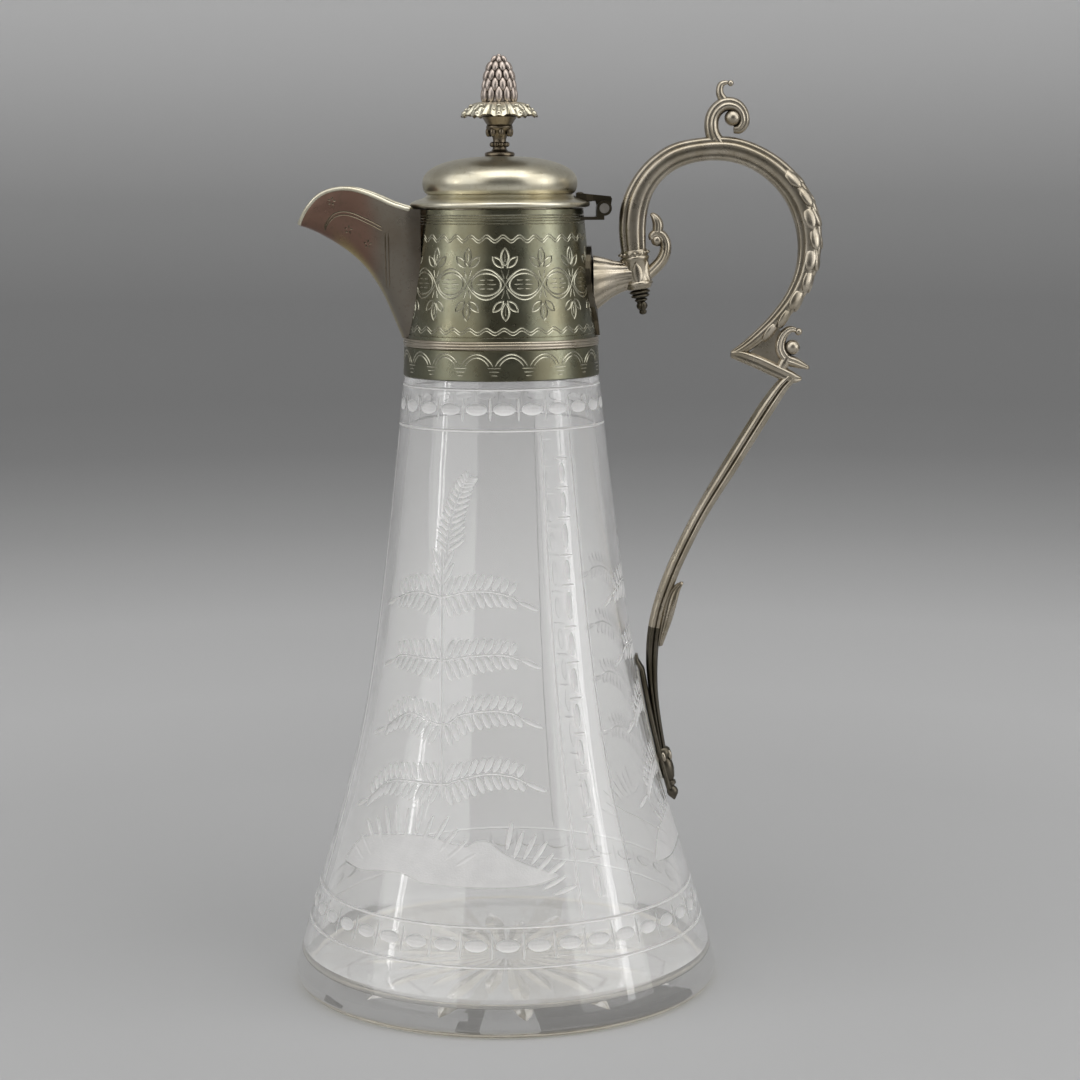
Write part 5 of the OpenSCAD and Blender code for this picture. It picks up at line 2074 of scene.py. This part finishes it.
@dataclass
class Studio:
    """The camera, the lamps and the pale sweep that the jug stands on."""

    camera_place: tuple[float, float, float] = (0.01166, -0.7753, 0.25176)
    pitch: float = 8.215
    roll: float = 0.35
    focal_pixels: float = 2496.3
    sensor: float = 36.0
    flat: float = 0.9
    reach: float = 2.8
    lamps: tuple[Softbox, ...] = (
        Softbox("right_softbox", (0.98, -0.50, 0.70), (0, 0, 0.17), (1.1, 1.5), 7.0),
        Softbox("left_softbox", (-1.05, -0.75, 0.85), (0, 0, 0.15), (1.7, 1.7), 10.5),
        Softbox("top_softbox", (0.1, -0.40, 1.45), (0, 0, 0.1), (1.2, 1.2), 9.0),
        Softbox("right_strip", (1.15, -0.42, 0.40), (0, 0, 0.2), (0.10, 0.6), 0.7),
        Softbox("left_strip", (-1.15, -0.48, 0.42), (0, 0, 0.2), (0.05, 0.45), 0.45),
    )

    def set_up(self) -> None:
        """Sets up all of it."""
        self.add_camera()
        self.add_sweep()
        self.add_world()
        for lamp in self.lamps:
            self.add_lamp(lamp)
        bpy.context.scene.view_settings.view_transform = "Standard"

    def add_camera(self) -> None:
        """Adds the camera of the photograph's view."""
        data = bpy.data.cameras.new("camera")
        data.sensor_width = self.sensor
        data.lens = self.focal_pixels * self.sensor / PHOTO_PIXELS
        data.clip_start = 0.01
        data.clip_end = 30.0
        made = link("camera", data)
        pitch, roll = math.radians(self.pitch), math.radians(self.roll)
        right, up = Vector((1, 0, 0)), Vector((0, math.sin(pitch), math.cos(pitch)))
        ahead = Vector((0, math.cos(pitch), -math.sin(pitch)))
        across = math.cos(roll) * right - math.sin(roll) * up
        upward = math.sin(roll) * right + math.cos(roll) * up
        frame = Matrix((across, upward, -ahead)).transposed().to_4x4()
        frame.translation = Vector(self.camera_place)
        made.matrix_world = frame
        bpy.context.scene.camera = made

    def add_lamp(self, lamp: Softbox) -> None:
        """Adds one softbox, which the camera doesn't see."""
        data = bpy.data.lights.new(lamp.name, "AREA")
        data.shape = "RECTANGLE"
        data.size, data.size_y = lamp.size
        data.energy = lamp.power
        made = link(lamp.name, data)
        made.location = lamp.place
        way = Vector(lamp.target) - Vector(lamp.place)
        made.rotation_euler = way.to_track_quat("-Z", "Y").to_euler()
        made.visible_camera = False

    def add_sweep(self) -> None:
        """Adds the floor, which curves up into a backdrop on every side."""
        rise = self.reach - self.flat
        outline = [(0.0, 0.0)] + [(self.flat * i / 6, 0.0) for i in range(1, 7)]
        outline += arc((self.flat, rise), rise, -90, 0, 24)[1:]
        outline += [(self.reach, 2.6), (self.reach, 3.4)]
        bm = bmesh.new()
        verts = [bm.verts.new((r, 0, z)) for r, z in outline]
        edges = [bm.edges.new(pair) for pair in zip(verts, verts[1:])]
        spin_round(bm, verts + edges, 96)
        bmesh.ops.remove_doubles(bm, verts=bm.verts[:], dist=1e-5)
        bmesh.ops.recalc_face_normals(bm, faces=bm.faces[:])
        mesh = bpy.data.meshes.new("studio_sweep")
        bm.to_mesh(mesh)
        bm.free()
        mesh.polygons.foreach_set("use_smooth", [True] * len(mesh.polygons))
        mesh.materials.append(Sweep().build())
        link("studio_sweep", mesh)

    def add_world(self) -> None:
        """Adds the even grey light of the room."""
        world = bpy.data.worlds.new("studio_world")
        world.use_nodes = True
        bpy.context.scene.world = world
        background = world.node_tree.nodes["Background"]
        background.inputs["Color"].default_value = (0.42, 0.42, 0.42, 1.0)
        background.inputs["Strength"].default_value = 1.0


def main() -> None:
    """Dresses the jug."""
    logging.basicConfig(level=logging.INFO, format="%(name)s: %(message)s")
    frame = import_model()
    Studio().set_up()
    glass, matt = Glass().build(), WheelCut().build()
    polished = Glass("polished_cut", (0.97, 0.94, 0.88), roughness=0.06).build()
    finishes = (
        Plate("engraved_plate", (0.225, 0.225, 0.16), (0.17, 0.15, 0.09), 0.6, 0.27),
        BeakPlate("beak_plate", (0.19, 0.17, 0.14), (0.13, 0.10, 0.07), 0.5, 0.28),
        Plate("bright_cut", (0.40, 0.39, 0.31), (0.32, 0.29, 0.20), 0.3, 0.24, dirt_and_shade_share=0.1),
        Plate("clean_silver", (0.68, 0.65, 0.53), (0.46, 0.40, 0.27), 0.5, 0.29),
        Plate("worn_silver", (0.48, 0.43, 0.35), (0.24, 0.20, 0.13), 0.55, 0.27),
        Plate("rubbed_silver", (0.52, 0.45, 0.40), (0.30, 0.23, 0.18), 0.4, 0.34),
        Plate("bronzed_silver_and_shade", (0.20, 0.165, 0.12), (0.10, 0.08, 0.05), 0.6, 0.3),
        Plate("dark_silver", (0.13, 0.115, 0.09), (0.06, 0.05, 0.03), 0.7, 0.32),
    )
    metals = [finish.build() for finish in finishes]
    plate, beak, bright, clean, silver, seeds, bronze_and_shade, dark = metals
    steel = Plain("hinge_steel", (0.45, 0.42, 0.38), 1.0, 0.4).build()
    brass = Plain("unplated_brass", (0.66, 0.50, 0.24), 1.0, 0.42).build()
    cement = Plain("set_plaster", (0.80, 0.77, 0.69), 0.0, 0.8).build()

    GlassBody().build(glass, matt, polished)
    Collar().build(plate, bright, silver)
    Spout().build(beak, bronze_and_shade, clean)
    Lid().build(clean)
    Finial().build(clean, bronze_and_shade, seeds)
    Handle().build(silver, dark)
    dresses = {
        cement: ("plaster_bed", "handle_cement_pad"),
        silver: ("collar_rim_seat", "lid_bezel"),
        dark: ("handle_back_plate", "collar_hinge_leaf", "lid_hinge_strap", "lid_rivets"),
        steel: ("hinge_pin",),
        brass: ("finial_stud", "finial_washer", "finial_nut"),
    }
    for material, nodes in dresses.items():
        for node in nodes:
            dress_node(frame, node, material)
    log.info("done")


if __name__ == "__main__":
    main()
